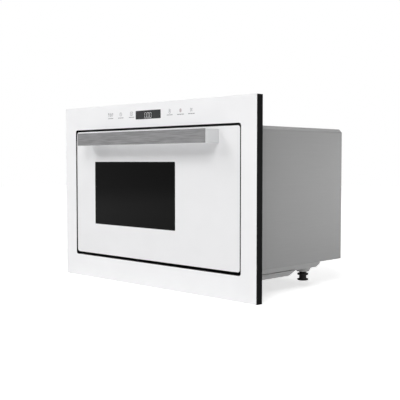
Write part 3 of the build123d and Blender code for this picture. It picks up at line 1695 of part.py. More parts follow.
with BuildPart() as handle_screws:
    with BuildSketch(facing(carrier_back)):
        with Locations(*handle_screws_at):
            Circle(handle_screw_head)
    extrude(amount=-handle_screw_head_height)
    with BuildSketch(facing(carrier_back)):
        with Locations(*handle_screws_at):
            Circle(handle_screw_radius)
    extrude(amount=carrier_back - door_front + handle_screw_grip)
finish(handle_screws, "handle_screws")

# Hinge leaves on the door's sides, turning on the pins
for side, name in zip(side_places, ("hinge_leaf_left", "hinge_leaf_right")):
    with BuildPart() as leaf:
        start = leaf_x if side > 0 else -leaf_x - leaf_sheet
        with BuildSketch(side_on(start)):
            with Locations(((leaf_front + door_split) / 2, leaf_low + leaf_height / 2)):
                RectangleRounded(door_split - leaf_front, leaf_height, leaf_corner)
            with Locations((pivot_y, pivot_z)):
                Circle(pin_radius + running_fit, mode=Mode.SUBTRACT)
            with Locations(*leaf_screws_at):
                Circle(screw_hole + screw_play, mode=Mode.SUBTRACT)
        extrude(amount=leaf_sheet)
    finish(leaf, name)

# Screws that hold the choke on the frame, and the leaves on the frame's walls
with BuildPart() as door_screws:
    with BuildSketch(facing(carrier_back + choke_sheet)):
        with Locations(*choke_screws_at):
            Circle(screw_head_radius)
    extrude(amount=-screw_head)
    with BuildSketch(facing(carrier_back - screw_grip + screw_play)):
        with Locations(*choke_screws_at):
            Circle(screw_radius)
    extrude(amount=-(screw_grip - screw_play + choke_sheet))
    for side in side_places:
        with BuildSketch(side_on(side * leaf_x)):
            with Locations(*leaf_screws_at):
                Circle(screw_head_radius)
        extrude(amount=-side * screw_head)
        with BuildSketch(side_on(side * leaf_x)):
            with Locations(*leaf_screws_at):
                Circle(screw_radius)
        extrude(amount=side * (leaf_sheet + screw_grip - screw_play))
finish(door_screws, "door_screws")

# Latch hooks: an eye on the frame's pin, and a bar through the plate with a nose that turns down
hook_tip = plate_y + hook_reach
for side, name in zip(side_places, ("latch_hook_left", "latch_hook_right")):
    with BuildPart() as latch_hook:
        start = hook_x if side > 0 else -hook_x - hook
        with BuildSketch(side_on(start)):
            with Locations((hook_pivot_y, hook_z)):
                Circle(hook_pivot_radius)
            Polygon(
                (hook_pivot_y, hook_low),
                (hook_tip - hook_nose_length, hook_low),
                (hook_tip - hook_nose_length, nose_low),
                (hook_tip - 2, nose_low),
                (hook_tip, hook_low),
                (hook_tip, hook_high - 2),
                (hook_tip - 2, hook_high),
                (hook_pivot_y, hook_high),
                align=None,
            )
            with Locations((hook_pivot_y, hook_z)):
                Circle(hook_pin_radius + running_fit, mode=Mode.SUBTRACT)
        extrude(amount=hook)
    finish(latch_hook, name)
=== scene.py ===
from math import cos, hypot, pi, radians, sin

import bmesh
import bpy
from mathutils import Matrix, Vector


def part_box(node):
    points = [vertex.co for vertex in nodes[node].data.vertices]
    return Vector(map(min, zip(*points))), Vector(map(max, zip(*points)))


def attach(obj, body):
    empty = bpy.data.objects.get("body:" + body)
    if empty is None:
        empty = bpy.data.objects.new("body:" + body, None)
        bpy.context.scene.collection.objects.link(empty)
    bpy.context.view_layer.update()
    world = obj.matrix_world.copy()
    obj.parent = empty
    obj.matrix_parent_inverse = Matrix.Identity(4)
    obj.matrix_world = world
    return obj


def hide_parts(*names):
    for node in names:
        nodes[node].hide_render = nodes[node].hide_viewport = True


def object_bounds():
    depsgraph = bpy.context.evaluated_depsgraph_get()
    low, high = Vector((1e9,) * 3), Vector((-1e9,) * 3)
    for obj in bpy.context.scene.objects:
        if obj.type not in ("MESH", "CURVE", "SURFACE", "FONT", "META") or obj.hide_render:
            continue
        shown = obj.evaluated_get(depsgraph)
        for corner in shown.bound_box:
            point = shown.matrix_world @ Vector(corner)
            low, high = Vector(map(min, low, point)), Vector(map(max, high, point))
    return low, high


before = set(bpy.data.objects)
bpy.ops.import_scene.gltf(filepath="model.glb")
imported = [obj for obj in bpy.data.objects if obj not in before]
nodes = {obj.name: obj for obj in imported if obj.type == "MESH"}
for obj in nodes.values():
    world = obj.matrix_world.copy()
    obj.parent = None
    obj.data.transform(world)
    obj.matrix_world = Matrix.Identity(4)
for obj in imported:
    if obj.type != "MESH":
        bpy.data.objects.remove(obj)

cad_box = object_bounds()
MM = 0.001
FRONT_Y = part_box("front_glass")[0].y


# Finishes

# What a pattern mostly keeps between, so that all of what is mapped from it is seen: a noise, and
# a pattern that uses its whole range
NOISE_REACH = (0.3, 0.7)
WHOLE_REACH = (0.0, 1.0)
# At scale 1 the wave texture repeats each 2 pi / 20
WAVE_PERIOD = 2 * pi / 20
GLASS_IOR = 1.52


def srgb(code):
    """A hex colour as the eye sees it, as linear light."""
    parts = [int(code[i : i + 2], 16) / 255 for i in (0, 2, 4)]
    return (*[c / 12.92 if c <= 0.04045 else ((c + 0.055) / 1.055) ** 2.4 for c in parts], 1.0)


def sized(*widths_mm):
    """The scale that gives a texture's features these widths in mm: one for all axes, or one each."""
    scales = tuple(1 / (width * MM) for width in widths_mm)
    return scales if len(scales) > 1 else scales[0]


def add(tree, kind, inputs=None, **settings):
    """A node with its settings; an input is a value, the output that feeds it, or a list of outputs."""
    made = tree.nodes.new(kind)
    for name, value in settings.items():
        setattr(made, name, value)
    for name, value in (inputs or {}).items():
        if isinstance(value, bpy.types.NodeSocket):
            tree.links.new(value, made.inputs[name])
        elif isinstance(value, list):
            for source in value:
                tree.links.new(source, made.inputs[name])
        else:
            made.inputs[name].default_value = value
    return made


def finish(name, build, *facts):
    """A material whose shader the build function fills in; it reads the object's own coordinates."""
    made = bpy.data.materials.new(name)
    made.use_nodes = True
    tree = made.node_tree
    tree.nodes.clear()
    place = add(tree, "ShaderNodeTexCoord").outputs["Object"]
    shader = add(tree, "ShaderNodeBsdfPrincipled", build(tree, place, *facts))
    add(tree, "ShaderNodeOutputMaterial", {"Surface": shader.outputs[0]})
    return made


def surface(tree, tint, colours, wear, reach, gloss, relief=None, depth_mm=None):
    """What all finishes share: a colour between two as the tint goes from 0 to 1, a roughness between
    two as the wear goes over its reach, and a relief of real depth. Tint, wear and relief are
    outputs; a colour is a hex code or an output."""
    dark, light = (srgb(colour) if isinstance(colour, str) else colour for colour in colours)
    tone = add(
        tree,
        "ShaderNodeMix",
        {"Factor": tint, "A": dark, "B": light},
        data_type="RGBA",
    )
    dull = add(
        tree,
        "ShaderNodeMapRange",
        {
            "Value": wear,
            "From Min": reach[0],
            "From Max": reach[1],
            "To Min": gloss[0],
            "To Max": gloss[1],
        },
    )
    sockets = {"Base Color": tone.outputs["Result"], "Roughness": dull.outputs["Result"]}
    if relief is not None:
        bump = add(tree, "ShaderNodeBump", {"Height": relief, "Distance": depth_mm * MM, "Strength": 1.0})
        sockets["Normal"] = bump.outputs["Normal"]
    return sockets


def moulded(tree, place, dark, light, gloss, grain_mm, sheen=0.3):
    """Plastic or rubber from a spark-eroded mould: a fine even grain, and the tone drifting over 38 mm."""
    grain = add(tree, "ShaderNodeTexNoise", {"Vector": place, "Scale": sized(grain_mm), "Detail": 3.0})
    drift = add(tree, "ShaderNodeTexNoise", {"Vector": place, "Scale": sized(38), "Detail": 2.0})
    fine = grain.outputs["Fac"]
    made = surface(
        tree, drift.outputs["Fac"], (dark, light), fine, NOISE_REACH, (gloss, gloss + 0.12), fine, 0.025
    )
    return made | {"Specular IOR Level": sheen}


def coated(tree, place, dark, light, gloss, peel_mm, sheen):
    """A film on a base, such as powder coat, enamel, lacquer, solder mask or ink: a soft orange peel,
    and patches 60 mm wide where it went on thicker."""
    peel = add(tree, "ShaderNodeTexNoise", {"Vector": place, "Scale": sized(peel_mm), "Detail": 1.0})
    coat = add(tree, "ShaderNodeTexNoise", {"Vector": place, "Scale": sized(60), "Detail": 2.0})
    fine = peel.outputs["Fac"]
    made = surface(
        tree, coat.outputs["Fac"], (dark, light), fine, NOISE_REACH, (gloss, gloss + 0.06), fine, 0.012
    )
    return made | {"Specular IOR Level": sheen}


def drawn(tree, place, dark, light, gloss, lines):
    """Bare or plated metal, drawn or stamped: fine lines along the way it was worked, and a bloom
    in patches 11 mm wide. The last fact is how many line widths a line runs along each axis."""
    # The real lines are under 0.1 mm apart; they are drawn 0.5 mm apart so that they show
    line_mm = 0.5
    runs = sized(*(line_mm * widths for widths in lines))
    along = add(tree, "ShaderNodeMapping", {"Vector": place, "Scale": runs})
    line = add(tree, "ShaderNodeTexNoise", {"Vector": along.outputs[0], "Scale": 1.0, "Detail": 2.0})
    bloom = add(tree, "ShaderNodeTexNoise", {"Vector": place, "Scale": sized(11), "Detail": 3.0})
    fine = line.outputs["Fac"]
    made = surface(
        tree, bloom.outputs["Fac"], (dark, light), fine, NOISE_REACH, (gloss, gloss + 0.13), fine, 0.006
    )
    return made | {"Metallic": 1.0}


def galvanised(tree, place, dark, light):
    """Zinc-coated sheet, skin-passed: dull grey, with flat spangles 7 mm wide that barely show, and
    streaks from the rolls, 2 mm high and 90 mm long, along the sheet."""
    spangle = add(tree, "ShaderNodeTexVoronoi", {"Vector": place, "Scale": sized(7)})
    grey = add(tree, "ShaderNodeSeparateColor", {"Color": spangle.outputs["Color"]})
    rolls = add(tree, "ShaderNodeMapping", {"Vector": place, "Scale": sized(90, 90, 2)})
    streak = add(tree, "ShaderNodeTexNoise", {"Vector": rolls.outputs[0], "Scale": 1.0, "Detail": 3.0})
    # The spangle's share of the tone; the streaks have the rest
    mixed = add(
        tree,
        "ShaderNodeMix",
        {"Factor": 0.12, "A": streak.outputs["Fac"], "B": grey.outputs[0]},
        data_type="FLOAT",
    )
    made = surface(
        tree,
        mixed.outputs["Result"],
        (dark, light),
        grey.outputs[0],
        WHOLE_REACH,
        (0.46, 0.52),
        streak.outputs["Fac"],
        0.001,
    )
    return made | {"Metallic": 0.2, "Specular IOR Level": 0.25}


def brushed(tree, place, dark, light):
    """Stainless steel brushed along the bar with grit 180: long streaks that smear the reflections."""
    # The real scratches are 0.1 mm wide; they are drawn at 0.6 mm so that they show in the picture
    along = add(tree, "ShaderNodeMapping", {"Vector": place, "Scale": sized(26, 0.6, 0.6)}).outputs[0]
    scratch = add(
        tree, "ShaderNodeTexNoise", {"Vector": along, "Scale": 1.0, "Detail": 4.0, "Roughness": 0.6}
    )
    # Broader marks of the brush's passes, 1.8 mm wide and 40 mm long, a little over half of what shows
    band = add(tree, "ShaderNodeMapping", {"Vector": place, "Scale": sized(40, 1.8, 1.8)})
    pass_mark = add(tree, "ShaderNodeTexNoise", {"Vector": band.outputs[0], "Scale": 1.0, "Detail": 2.0})
    worn = add(
        tree,
        "ShaderNodeMix",
        {"Factor": 0.55, "A": scratch.outputs["Fac"], "B": pass_mark.outputs["Fac"]},
        data_type="FLOAT",
    )
    spread = add(
        tree,
        "ShaderNodeMapRange",
        {"Value": worn.outputs["Result"], "From Min": 0.36, "From Max": 0.64, "To Min": 0.0, "To Max": 1.0},
    )
    shown = spread.outputs["Result"]
    made = surface(
        tree,
        shown,
        (dark, light),
        shown,
        WHOLE_REACH,
        (0.34, 0.46),
        scratch.outputs["Fac"],
        0.01,
    )
    return made | {"Metallic": 1.0, "Anisotropic": 0.6}


def enamelled_glass(tree, place, dark, light, edge, fields):
    """Float glass with ceramic enamel fired on its back: gloss over flat white, a dark ground edge,
    and fields left clear of enamel, each painted one colour for the dark parts and the painted
    shade that show through it. Each field is its left, right, low and high side and corner in mm,
    and its colour, or None for the white enamel."""
    wave = add(tree, "ShaderNodeTexNoise", {"Vector": place, "Scale": sized(55), "Detail": 1.0})
    white = add(
        tree,
        "ShaderNodeMix",
        {"Factor": wave.outputs["Fac"], "A": srgb(dark), "B": srgb(light)},
        data_type="RGBA",
    ).outputs["Result"]
    shown = srgb(edge)
    for left, right, low, high, corner, code in fields:
        # A point is in the field where it is within the corner's radius of an inner rectangle
        middle = ((left + right) / 2 * MM, 0, (low + high) / 2 * MM)
        inner = (((right - left) / 2 - corner) * MM, 0, ((high - low) / 2 - corner) * MM)
        reach = place
        for operation, operand in (
            ("SUBTRACT", middle),
            ("ABSOLUTE", None),
            ("SUBTRACT", inner),
            ("MAXIMUM", (0, 0, 0)),
            ("MULTIPLY", (1, 0, 1)),
        ):
            facts = {0: reach} if operand is None else {0: reach, 1: operand}
            reach = add(tree, "ShaderNodeVectorMath", facts, operation=operation).outputs[0]
        length = add(tree, "ShaderNodeVectorMath", {0: reach}, operation="LENGTH").outputs["Value"]
        inside = add(tree, "ShaderNodeMath", {0: length, 1: corner * MM}, operation="LESS_THAN")
        shown = add(
            tree,
            "ShaderNodeMix",
            {"Factor": inside.outputs[0], "A": shown, "B": srgb(code) if code else white},
            data_type="RGBA",
        ).outputs["Result"]
    # The pane's two faces and the narrow arris carry the print; the ground edge, which looks
    # sideways, doesn't
    print_facing = 0.6
    facing = add(tree, "ShaderNodeSeparateXYZ", {0: add(tree, "ShaderNodeTexCoord").outputs["Normal"]})
    level = add(tree, "ShaderNodeMath", {0: facing.outputs["Y"]}, operation="ABSOLUTE")
    pane = add(tree, "ShaderNodeMath", {0: level.outputs[0], 1: print_facing}, operation="GREATER_THAN")
    made = surface(tree, pane.outputs[0], (edge, shown), wave.outputs["Fac"], NOISE_REACH, (0.07, 0.10))
    return made | {"IOR": GLASS_IOR, "Specular IOR Level": 0.05}


def clear_glass(tree, place, code, gloss, wave_mm):
    """Glass, pressed, cut or blown: clear, faintly tinted in its depth, with slow waves in its skin."""
    wave = add(tree, "ShaderNodeTexNoise", {"Vector": place, "Scale": sized(wave_mm), "Detail": 1.0})
    slow = wave.outputs["Fac"]
    made = surface(tree, slow, (code, "F6FAF8"), slow, NOISE_REACH, (gloss, gloss + 0.03), slow, 0.02)
    return made | {"IOR": GLASS_IOR, "Transmission Weight": 1.0}


def layered(tree, place, dark, light, pitch_mm, axis, metal):
    """Sheets or wires laid side by side: a rounded ridge to each, its crest painted lighter as a painted
    highlight, and a dark line between two, the joint darkened with painted shade.
    """
    ridge = add(
        tree,
        "ShaderNodeTexWave",
        {"Vector": place, "Scale": WAVE_PERIOD / (pitch_mm * MM), "Distortion": 0.4, "Detail": 1.0},
        bands_direction=axis,
    )
    high = ridge.outputs["Fac"]
    made = surface(tree, high, (dark, light), high, WHOLE_REACH, (0.60, 0.42), high, 0.1 * pitch_mm)
    return made | {"Metallic": metal}


def flaky(tree, place, dark, light, flake_mm):
    """Pressed mica: overlapping silver-green flakes, some duller than others."""
    flake = add(tree, "ShaderNodeTexVoronoi", {"Vector": place, "Scale": sized(flake_mm)})
    grey = add(tree, "ShaderNodeSeparateColor", {"Color": flake.outputs["Color"]})
    return surface(tree, grey.outputs[0], (dark, light), grey.outputs[1], WHOLE_REACH, (0.35, 0.6))


# ABS, moulded: black and matt, the grain just kills the gloss
black_abs = finish("abs_moulded_black", moulded, "070707", "0C0C0C", 0.42, 0.9, 0.14)
# ABS, moulded in dark grey: the door's inner tray
grey_abs = finish("abs_moulded_dark_grey", moulded, "2A2B2D", "323335", 0.45, 0.9)
# Polypropylene, moulded: a slightly waxy white
white_pp = finish("polypropylene_moulded_white", moulded, "DAD9D2", "E6E5DF", 0.36, 1.4, 0.5)
# PPS with glass fibre, moulded: a duller, greyer white
grey_pps = finish("pps_moulded_grey_white", moulded, "B7B5AD", "C6C4BC", 0.48, 0.7)
# Nitrile rubber, moulded: matt black with a dusty bloom
foot_rubber = finish("nitrile_rubber_moulded", moulded, "0E0E0F", "1A1A1B", 0.62, 1.2, 0.2)
# Steel with a satin black powder coat: the return behind the glass, nearly without reflections
black_coat = finish("steel_powder_coated_black", coated, "090909", "0E0E0E", 0.52, 1.6, 0.03)
# Steel with a charcoal powder coat: the ring and the screen in the door's back
choke_coat = finish("steel_powder_coated_charcoal", coated, "232426", "2C2D2F", 0.42, 1.6, 0.4)
# Steel with baked pale grey enamel: the cavity, glossy enough to show the plate in its floor
cavity_enamel = finish("steel_enamelled_pale_grey", coated, "A6A8AA", "B6B8BA", 0.20, 3.0, 0.5)
# Zinc alloy, die-cast and lacquered: the handle's body, a pale neutral grey with a satin face
handle_lacquer = finish("zinc_alloy_lacquered_grey", coated, "E2E3E4", "E6E7E8", 0.32, 1.1, 0.4)
# Steel, zinc-plated: pale, slightly blue, with fine drawing lines
zinc_plate = finish("steel_zinc_plated", drawn, "A2A6AB", "B9BCC0", 0.26, (1, 12, 1))
# Aluminium, stamped: the magnetron's fins and the capacitor's can
stamped_aluminium = finish("aluminium_stamped", drawn, "B2B3B5", "C7C8C9", 0.24, (8, 8, 1))
# Electrical steel, laminated and varnished: 0.5 mm sheets, drawn 2 mm thick so that they show
core_steel = finish("electrical_steel_laminated", layered, "2A2622", "4F4841", 2.0, "Y", 0.5)
# Copper wire, enamelled and wound: 1 mm turns, drawn 2 mm apart so that they show
coil_copper = finish("copper_wire_enamelled", layered, "4F2814", "94552F", 2.0, "Z", 0.4)
# Epoxy and glass board under green solder mask: a smooth gloss
board_mask = finish("epoxy_board_solder_mask", coated, "0F3A20", "164E2C", 0.30, 2.0, 0.5)
# Mica sheet, pressed from flakes 3 to 4 mm wide: a silvery sheet with a patchwork of glints
mica = finish("mica_sheet_pressed", flaky, "8F8768", "B3AA88", 3.5)
# Zinc-coated steel sheet: the body, an even dull grey
body_sheet = finish("steel_sheet_zinc_coated", galvanised, "868686", "8B8B8B")
# The same sheet with its colour painted lighter, as painted light from below: the pan
pan_sheet_painted_lighter = finish("steel_sheet_zinc_coated_painted_lighter", galvanised, "9A9A9A", "9F9F9F")
# Stainless steel, brushed: the handle's face, streaked along its length
handle_steel = finish("stainless_steel_brushed", brushed, "757576", "929293")
# Float glass, printed white: the front. The enamel stops just short of the pane's edge and of the
# door's opening, and the display's field is left clear, with a darker rim
FRONT_FIELDS = (
    (-296.6, 296.6, -20.0, 380.0, 0.5, None),
    (-257.6, 257.6, 34.5, 321.9, 5.2, "0A0B0B"),
    (-43.2, 36.0, 339.0, 357.0, 0.8, "2A2A2B"),
    (-42.6, 35.2, 339.6, 356.2, 0.5, "404041"),
)
front_pane = finish("float_glass_printed_front", enamelled_glass, "F3F3F4", "F7F7F8", "0A0B0B", FRONT_FIELDS)
# Float glass, printed white: the door, with the window left clear of enamel and painted near-black
DOOR_FIELDS = (
    # The white stops short of the door's edge, further on the right than on the left; the dark margin it
    # leaves is painted shade that deepens the gap round the door
    (-254.6, 253.9, 40.8, 317.2, 5.0, None),
    # The window's near-black: the glass's dark tint and the dark screen behind it, with painted shade for the
    # dark inside the oven
    (-187.3, 77.4, 108.5, 249.1, 1.5, "030303"),
)
door_pane = finish("float_glass_printed_door", enamelled_glass, "EDEDEE", "F1F1F2", "0E0F0F", DOOR_FIELDS)
# Float glass, cut and ground: the door's inner pane, faintly green
inner_pane = finish("float_glass_clear", clear_glass, "E6F0EC", 0.02, 70)
# Soda-lime glass, pressed: the turntable's plate, greener and more wavy
plate_glass = finish("soda_lime_glass_pressed", clear_glass, "DDEBE6", 0.03, 14)
# Borosilicate glass, blown: the lamp, slightly warm
bulb_glass = finish("borosilicate_glass_blown", clear_glass, "F6F3EA", 0.05, 9)
# Acrylic, smoked and polished: the display's lens behind the glass
display_lens = finish("acrylic_smoked", coated, "2C2C2D", "333334", 0.12, 8.0, 0.5)
# Ceramic ink, screen-printed: flat and slightly matt
grey_ink = finish("ceramic_ink_grey", coated, "78787C", "808084", 0.30, 0.5, 0.3)
pink_ink = finish("ceramic_ink_rose_grey", coated, "C9BEC1", "CFC5C8", 0.30, 0.5, 0.3)
# Light from the display's segments, spread by the lens, painted as an even pale grey
segment_light = finish("display_segments_lit", coated, "E0E0E0", "E6E6E6", 0.30, 0.5, 0.2)

FINISHES = {
    front_pane: ("front_glass",),
    door_pane: ("door_glass",),
    black_coat: ("trim_frame",),
    black_abs: (
        "bezel", "door_cover", "control_housing", "latch_housing_left", "latch_housing_right",
        "door_switches", "cord_gland", "lamp_holder", "fan_shroud", "fan_blade",
    ),
    grey_abs: ("door_frame",),
    choke_coat: ("choke_frame", "screen"),
    body_sheet: ("outer_cover", "back_panel", "front_plate", "waveguide", "turntable_motor"),
    pan_sheet_painted_lighter: ("base_pan",),
    cavity_enamel: ("cavity_shell",),
    zinc_plate: (
        "hinge_bracket_left", "hinge_bracket_right", "hinge_pins", "hinge_leaf_left", "hinge_leaf_right",
        "bezel_screws", "cover_screws", "door_screws", "handle_screws", "motor_shaft", "touch_contacts",
    ),
    stamped_aluminium: ("magnetron", "capacitor", "fan_motor"),
    core_steel: ("transformer_core",),
    coil_copper: ("transformer_coils",),
    board_mask: ("control_board", "power_board", "filter_board"),
    display_lens: ("display_module",),
    mica: ("port_cover",),
    white_pp: ("latch_hook_left", "latch_hook_right", "roller_ring", "roller_1", "roller_2", "roller_3"),
    grey_pps: ("turntable_coupler",),
    foot_rubber: ("foot_front_left", "foot_front_right", "foot_back_left", "foot_back_right"),
    handle_lacquer: ("handle_body",),
    handle_steel: ("handle_strip",),
    inner_pane: ("inner_window",),
    plate_glass: ("glass_plate",),
    bulb_glass: ("lamp_bulb",),
}
for material, names in FINISHES.items():
    for name in names:
        if not nodes[name].material_slots:
            nodes[name].data.materials.append(material)
        for slot in nodes[name].material_slots:
            slot.material = material


# Pieces


def placed(name, mesh, body, slot, *replaced):
    """A finished piece: its object at the origin, riding on its body."""
    made = bpy.data.objects.new(name, mesh)
    bpy.context.scene.collection.objects.link(made)
    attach(made, body)
    if replaced:
        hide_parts(*replaced)


def solid_mesh(name, shape, *materials):
    """The mesh of a closed shape, with its faces turned outwards."""
    bmesh.ops.recalc_face_normals(shape, faces=shape.faces)
    mesh = bpy.data.meshes.new(name)
    shape.to_mesh(mesh)
    shape.free()
    for material in materials:
        mesh.materials.append(material)
    return mesh


def framed(name, sections, *materials):
    """The mesh of a closed frame, from its section at each corner, in order round the frame."""
    shape = bmesh.new()
    rings = [[shape.verts.new(point) for point in section] for section in sections]
    for i, here in enumerate(rings):
        there = rings[(i + 1) % len(rings)]
        for j in range(len(here)):
            k = (j + 1) % len(here)
            shape.faces.new((here[j], there[j], there[k], here[k]))
    return solid_mesh(name, shape, *materials)


def grower(name, **inputs):
    """A Geometry Nodes tree that takes a geometry, named inputs by kind and a finish, with its inputs."""
    tree = bpy.data.node_groups.new(name, "GeometryNodeTree")
    for kind, labels in (("Geometry", ("Geometry",)), *inputs.items(), ("Material", ("Finish",))):
        for label in labels:
            tree.interface.new_socket(label, in_out="INPUT", socket_type="NodeSocket" + kind)
    tree.interface.new_socket("Geometry", in_out="OUTPUT", socket_type="NodeSocketGeometry")
    return tree, add(tree, "NodeGroupInput").outputs


def handed_out(tree, geometry, material):
    """The end of a tree: the finish goes on, and the geometry out."""
    dressed = add(tree, "GeometryNodeSetMaterial", {"Geometry": geometry, "Material": material})
    add(tree, "NodeGroupOutput", {"Geometry": dressed.outputs[0]})


def grown(mesh, tree, given):
    """The plain mesh that a Geometry Nodes tree makes from a mesh and its named inputs, in metres."""
    host = bpy.data.objects.new("host", mesh)
    bpy.context.scene.collection.objects.link(host)
    modifier = host.modifiers.new("grower", "NODES")
    modifier.node_group = tree
    for item in tree.interface.items_tree:
        if item.in_out == "INPUT" and item.name in given:
            modifier[item.identifier] = given[item.name]
    made = bpy.data.meshes.new_from_object(host.evaluated_get(bpy.context.evaluated_depsgraph_get()))
    host.modifiers.remove(modifier)
    bpy.data.objects.remove(host)
    return made


# A screw's head from its bearing face up: share of its height, share of its radius. A flange, a step
# and a dome
HEAD_FOOT, HEAD_TOP = (0.0, 1.0), (1.0, 0.42)
HEAD_PROFILE = ((0.22, 1.0), (0.27, 0.80), (0.62, 0.76), (0.86, 0.64))
# How much longer than wide each bar of the cross recess is
RECESS_LENGTH = 3.4


def screw_tree():
    """Pan-head screws with a flange and a cross recess, one on each point, heads towards +Y."""
    tree, given = grower(
        "cross_recess_screws",
        Float=("Head radius", "Head height", "Shank radius", "Shank length", "Recess width", "Recess depth"),
    )
    top = add(tree, "ShaderNodeCombineXYZ", {"Z": given["Head height"]})
    spine = add(tree, "GeometryNodeCurvePrimitiveLine", {"Start": (0, 0, 0), "End": top.outputs[0]})
    steps = add(tree, "GeometryNodeResampleCurve", {"Curve": spine.outputs[0], "Count": 13})
    along = add(tree, "GeometryNodeSplineParameter")
    dome = add(tree, "ShaderNodeFloatCurve", {"Value": along.outputs["Factor"]})
    line = dome.mapping.curves[0]
    line.points[0].location = HEAD_FOOT
    line.points[1].location = HEAD_TOP
    for share, wide in HEAD_PROFILE:
        line.points.new(share, wide)
    for point in line.points:
        point.handle_type = "VECTOR"
    dome.mapping.update()
    ring = add(
        tree,
        "GeometryNodeCurvePrimitiveCircle",
        {"Resolution": 28, "Radius": given["Head radius"]},
    )
    swelled = add(
        tree, "GeometryNodeSetCurveRadius", {"Curve": steps.outputs[0], "Radius": dome.outputs[0]}
    )
    head = add(
        tree,
        "GeometryNodeCurveToMesh",
        {"Curve": swelled.outputs[0], "Profile Curve": ring.outputs["Curve"], "Fill Caps": True},
    )
    # Two crossed bars, centred on the head's top, so half of each is in it
    wide = given["Recess width"]
    long = add(tree, "ShaderNodeMath", {0: wide, 1: RECESS_LENGTH}, operation="MULTIPLY").outputs[0]
    tall = add(tree, "ShaderNodeMath", {0: given["Recess depth"], 1: 2.0}, operation="MULTIPLY").outputs[0]
    cuts = []
    for x, y in ((long, wide), (wide, long)):
        size = add(tree, "ShaderNodeCombineXYZ", {"X": x, "Y": y, "Z": tall})
        bar = add(tree, "GeometryNodeMeshCube", {"Size": size.outputs[0]})
        lifted = add(
            tree, "GeometryNodeTransform", {"Geometry": bar.outputs["Mesh"], "Translation": top.outputs[0]}
        )
        cuts.append(lifted.outputs[0])
    recessed = add(
        tree,
        "GeometryNodeMeshBoolean",
        {"Mesh 1": head.outputs[0], "Mesh 2": cuts},
        operation="DIFFERENCE",
        solver="EXACT",
    )
    # The shank hangs from the head's bearing face
    half = add(tree, "ShaderNodeMath", {0: given["Shank length"], 1: -0.5}, operation="MULTIPLY")
    sunk = add(tree, "ShaderNodeCombineXYZ", {"Z": half.outputs[0]})
    rod = add(
        tree,
        "GeometryNodeMeshCylinder",
        {"Vertices": 20, "Radius": given["Shank radius"], "Depth": given["Shank length"]},
    )
    shank = add(
        tree, "GeometryNodeTransform", {"Geometry": rod.outputs["Mesh"], "Translation": sunk.outputs[0]}
    )
    screw = add(tree, "GeometryNodeJoinGeometry", {"Geometry": [recessed.outputs[0], shank.outputs[0]]})
    facing_back = add(
        tree, "GeometryNodeTransform", {"Geometry": screw.outputs[0], "Rotation": (-pi / 2, 0, 0)}
    )
    # Each screw stopped at its own angle when it was driven home
    turn = add(
        tree,
        "FunctionNodeRandomValue",
        {"Min": (0, 0, 0), "Max": (0, pi / 2, 0), "Seed": 7},
        data_type="FLOAT_VECTOR",
    )
    driven = add(
        tree,
        "GeometryNodeInstanceOnPoints",
        {
            "Points": given["Geometry"],
            "Instance": facing_back.outputs[0],
            "Rotation": turn.outputs[0],
        },
    )
    real = add(tree, "GeometryNodeRealizeInstances", {"Geometry": driven.outputs[0]})
    handed_out(tree, real.outputs[0], given["Finish"])
    return tree


def seats(name):
    """The middle of each screw of a CAD node, as a point mesh at the y of the heads' tops, and the
    screws' length."""
    low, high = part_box(name)
    loose = bmesh.new()
    loose.from_mesh(nodes[name].data)
    bmesh.ops.remove_doubles(loose, verts=loose.verts, dist=1e-6)
    left = set(loose.verts)
    middles = []
    while left:
        reached = [left.pop()]
        piece = []
        while reached:
            vertex = reached.pop()
            piece.append(vertex.co)
            for edge in vertex.link_edges:
                other = edge.other_vert(vertex)
                if other in left:
                    left.remove(other)
                    reached.append(other)
        middles.append([(min(c[i] for c in piece) + max(c[i] for c in piece)) / 2 for i in (0, 2)])
    loose.free()
    mesh = bpy.data.meshes.new(name + "_seats")
    mesh.from_pydata([(x, high.y, z) for x, z in sorted(middles)], [], [])
    return mesh, high.y - low.y


# The recess goes this share of the head's height deep; edges sharper than this angle stay crisp
RECESS_SHARE = 0.6
CRISP = radians(32)
SCREWS = screw_tree()
for name, head_radius, head_height, shank_radius, recess in (
    ("cover_screws", 3.6, 2.0, 1.9, 1.0),
    ("bezel_screws", 3.2, 2.2, 1.35, 0.9),
):
    points, length = seats(name)
    for vertex in points.vertices:
        vertex.co.y -= head_height * MM
    mesh = grown(
        points,
        SCREWS,
        {
            "Head radius": head_radius * MM,
            "Head height": head_height * MM,
            "Shank radius": shank_radius * MM,
            "Shank length": length - head_height * MM,
            "Recess width": recess * MM,
            "Recess depth": RECESS_SHARE * head_height * MM,
            "Finish": zinc_plate,
        },
    )
    mesh.set_sharp_from_angle(angle=CRISP)
    placed(name + "_recessed", mesh, "oven", "steel_parts", name)

# The screen's real holes are 1.3 mm wide, 2 mm apart; they are drawn 3.6 mm apart, to stay light
# enough
PITCH = 3.6 * MM
SCREEN_SHEET = 0.5 * MM
# How far a row of hexagonal cells is from the next, as a share of the pitch
ROW = 3**0.5 / 2
# Corners closer than this become one
WELD = 0.01 * MM


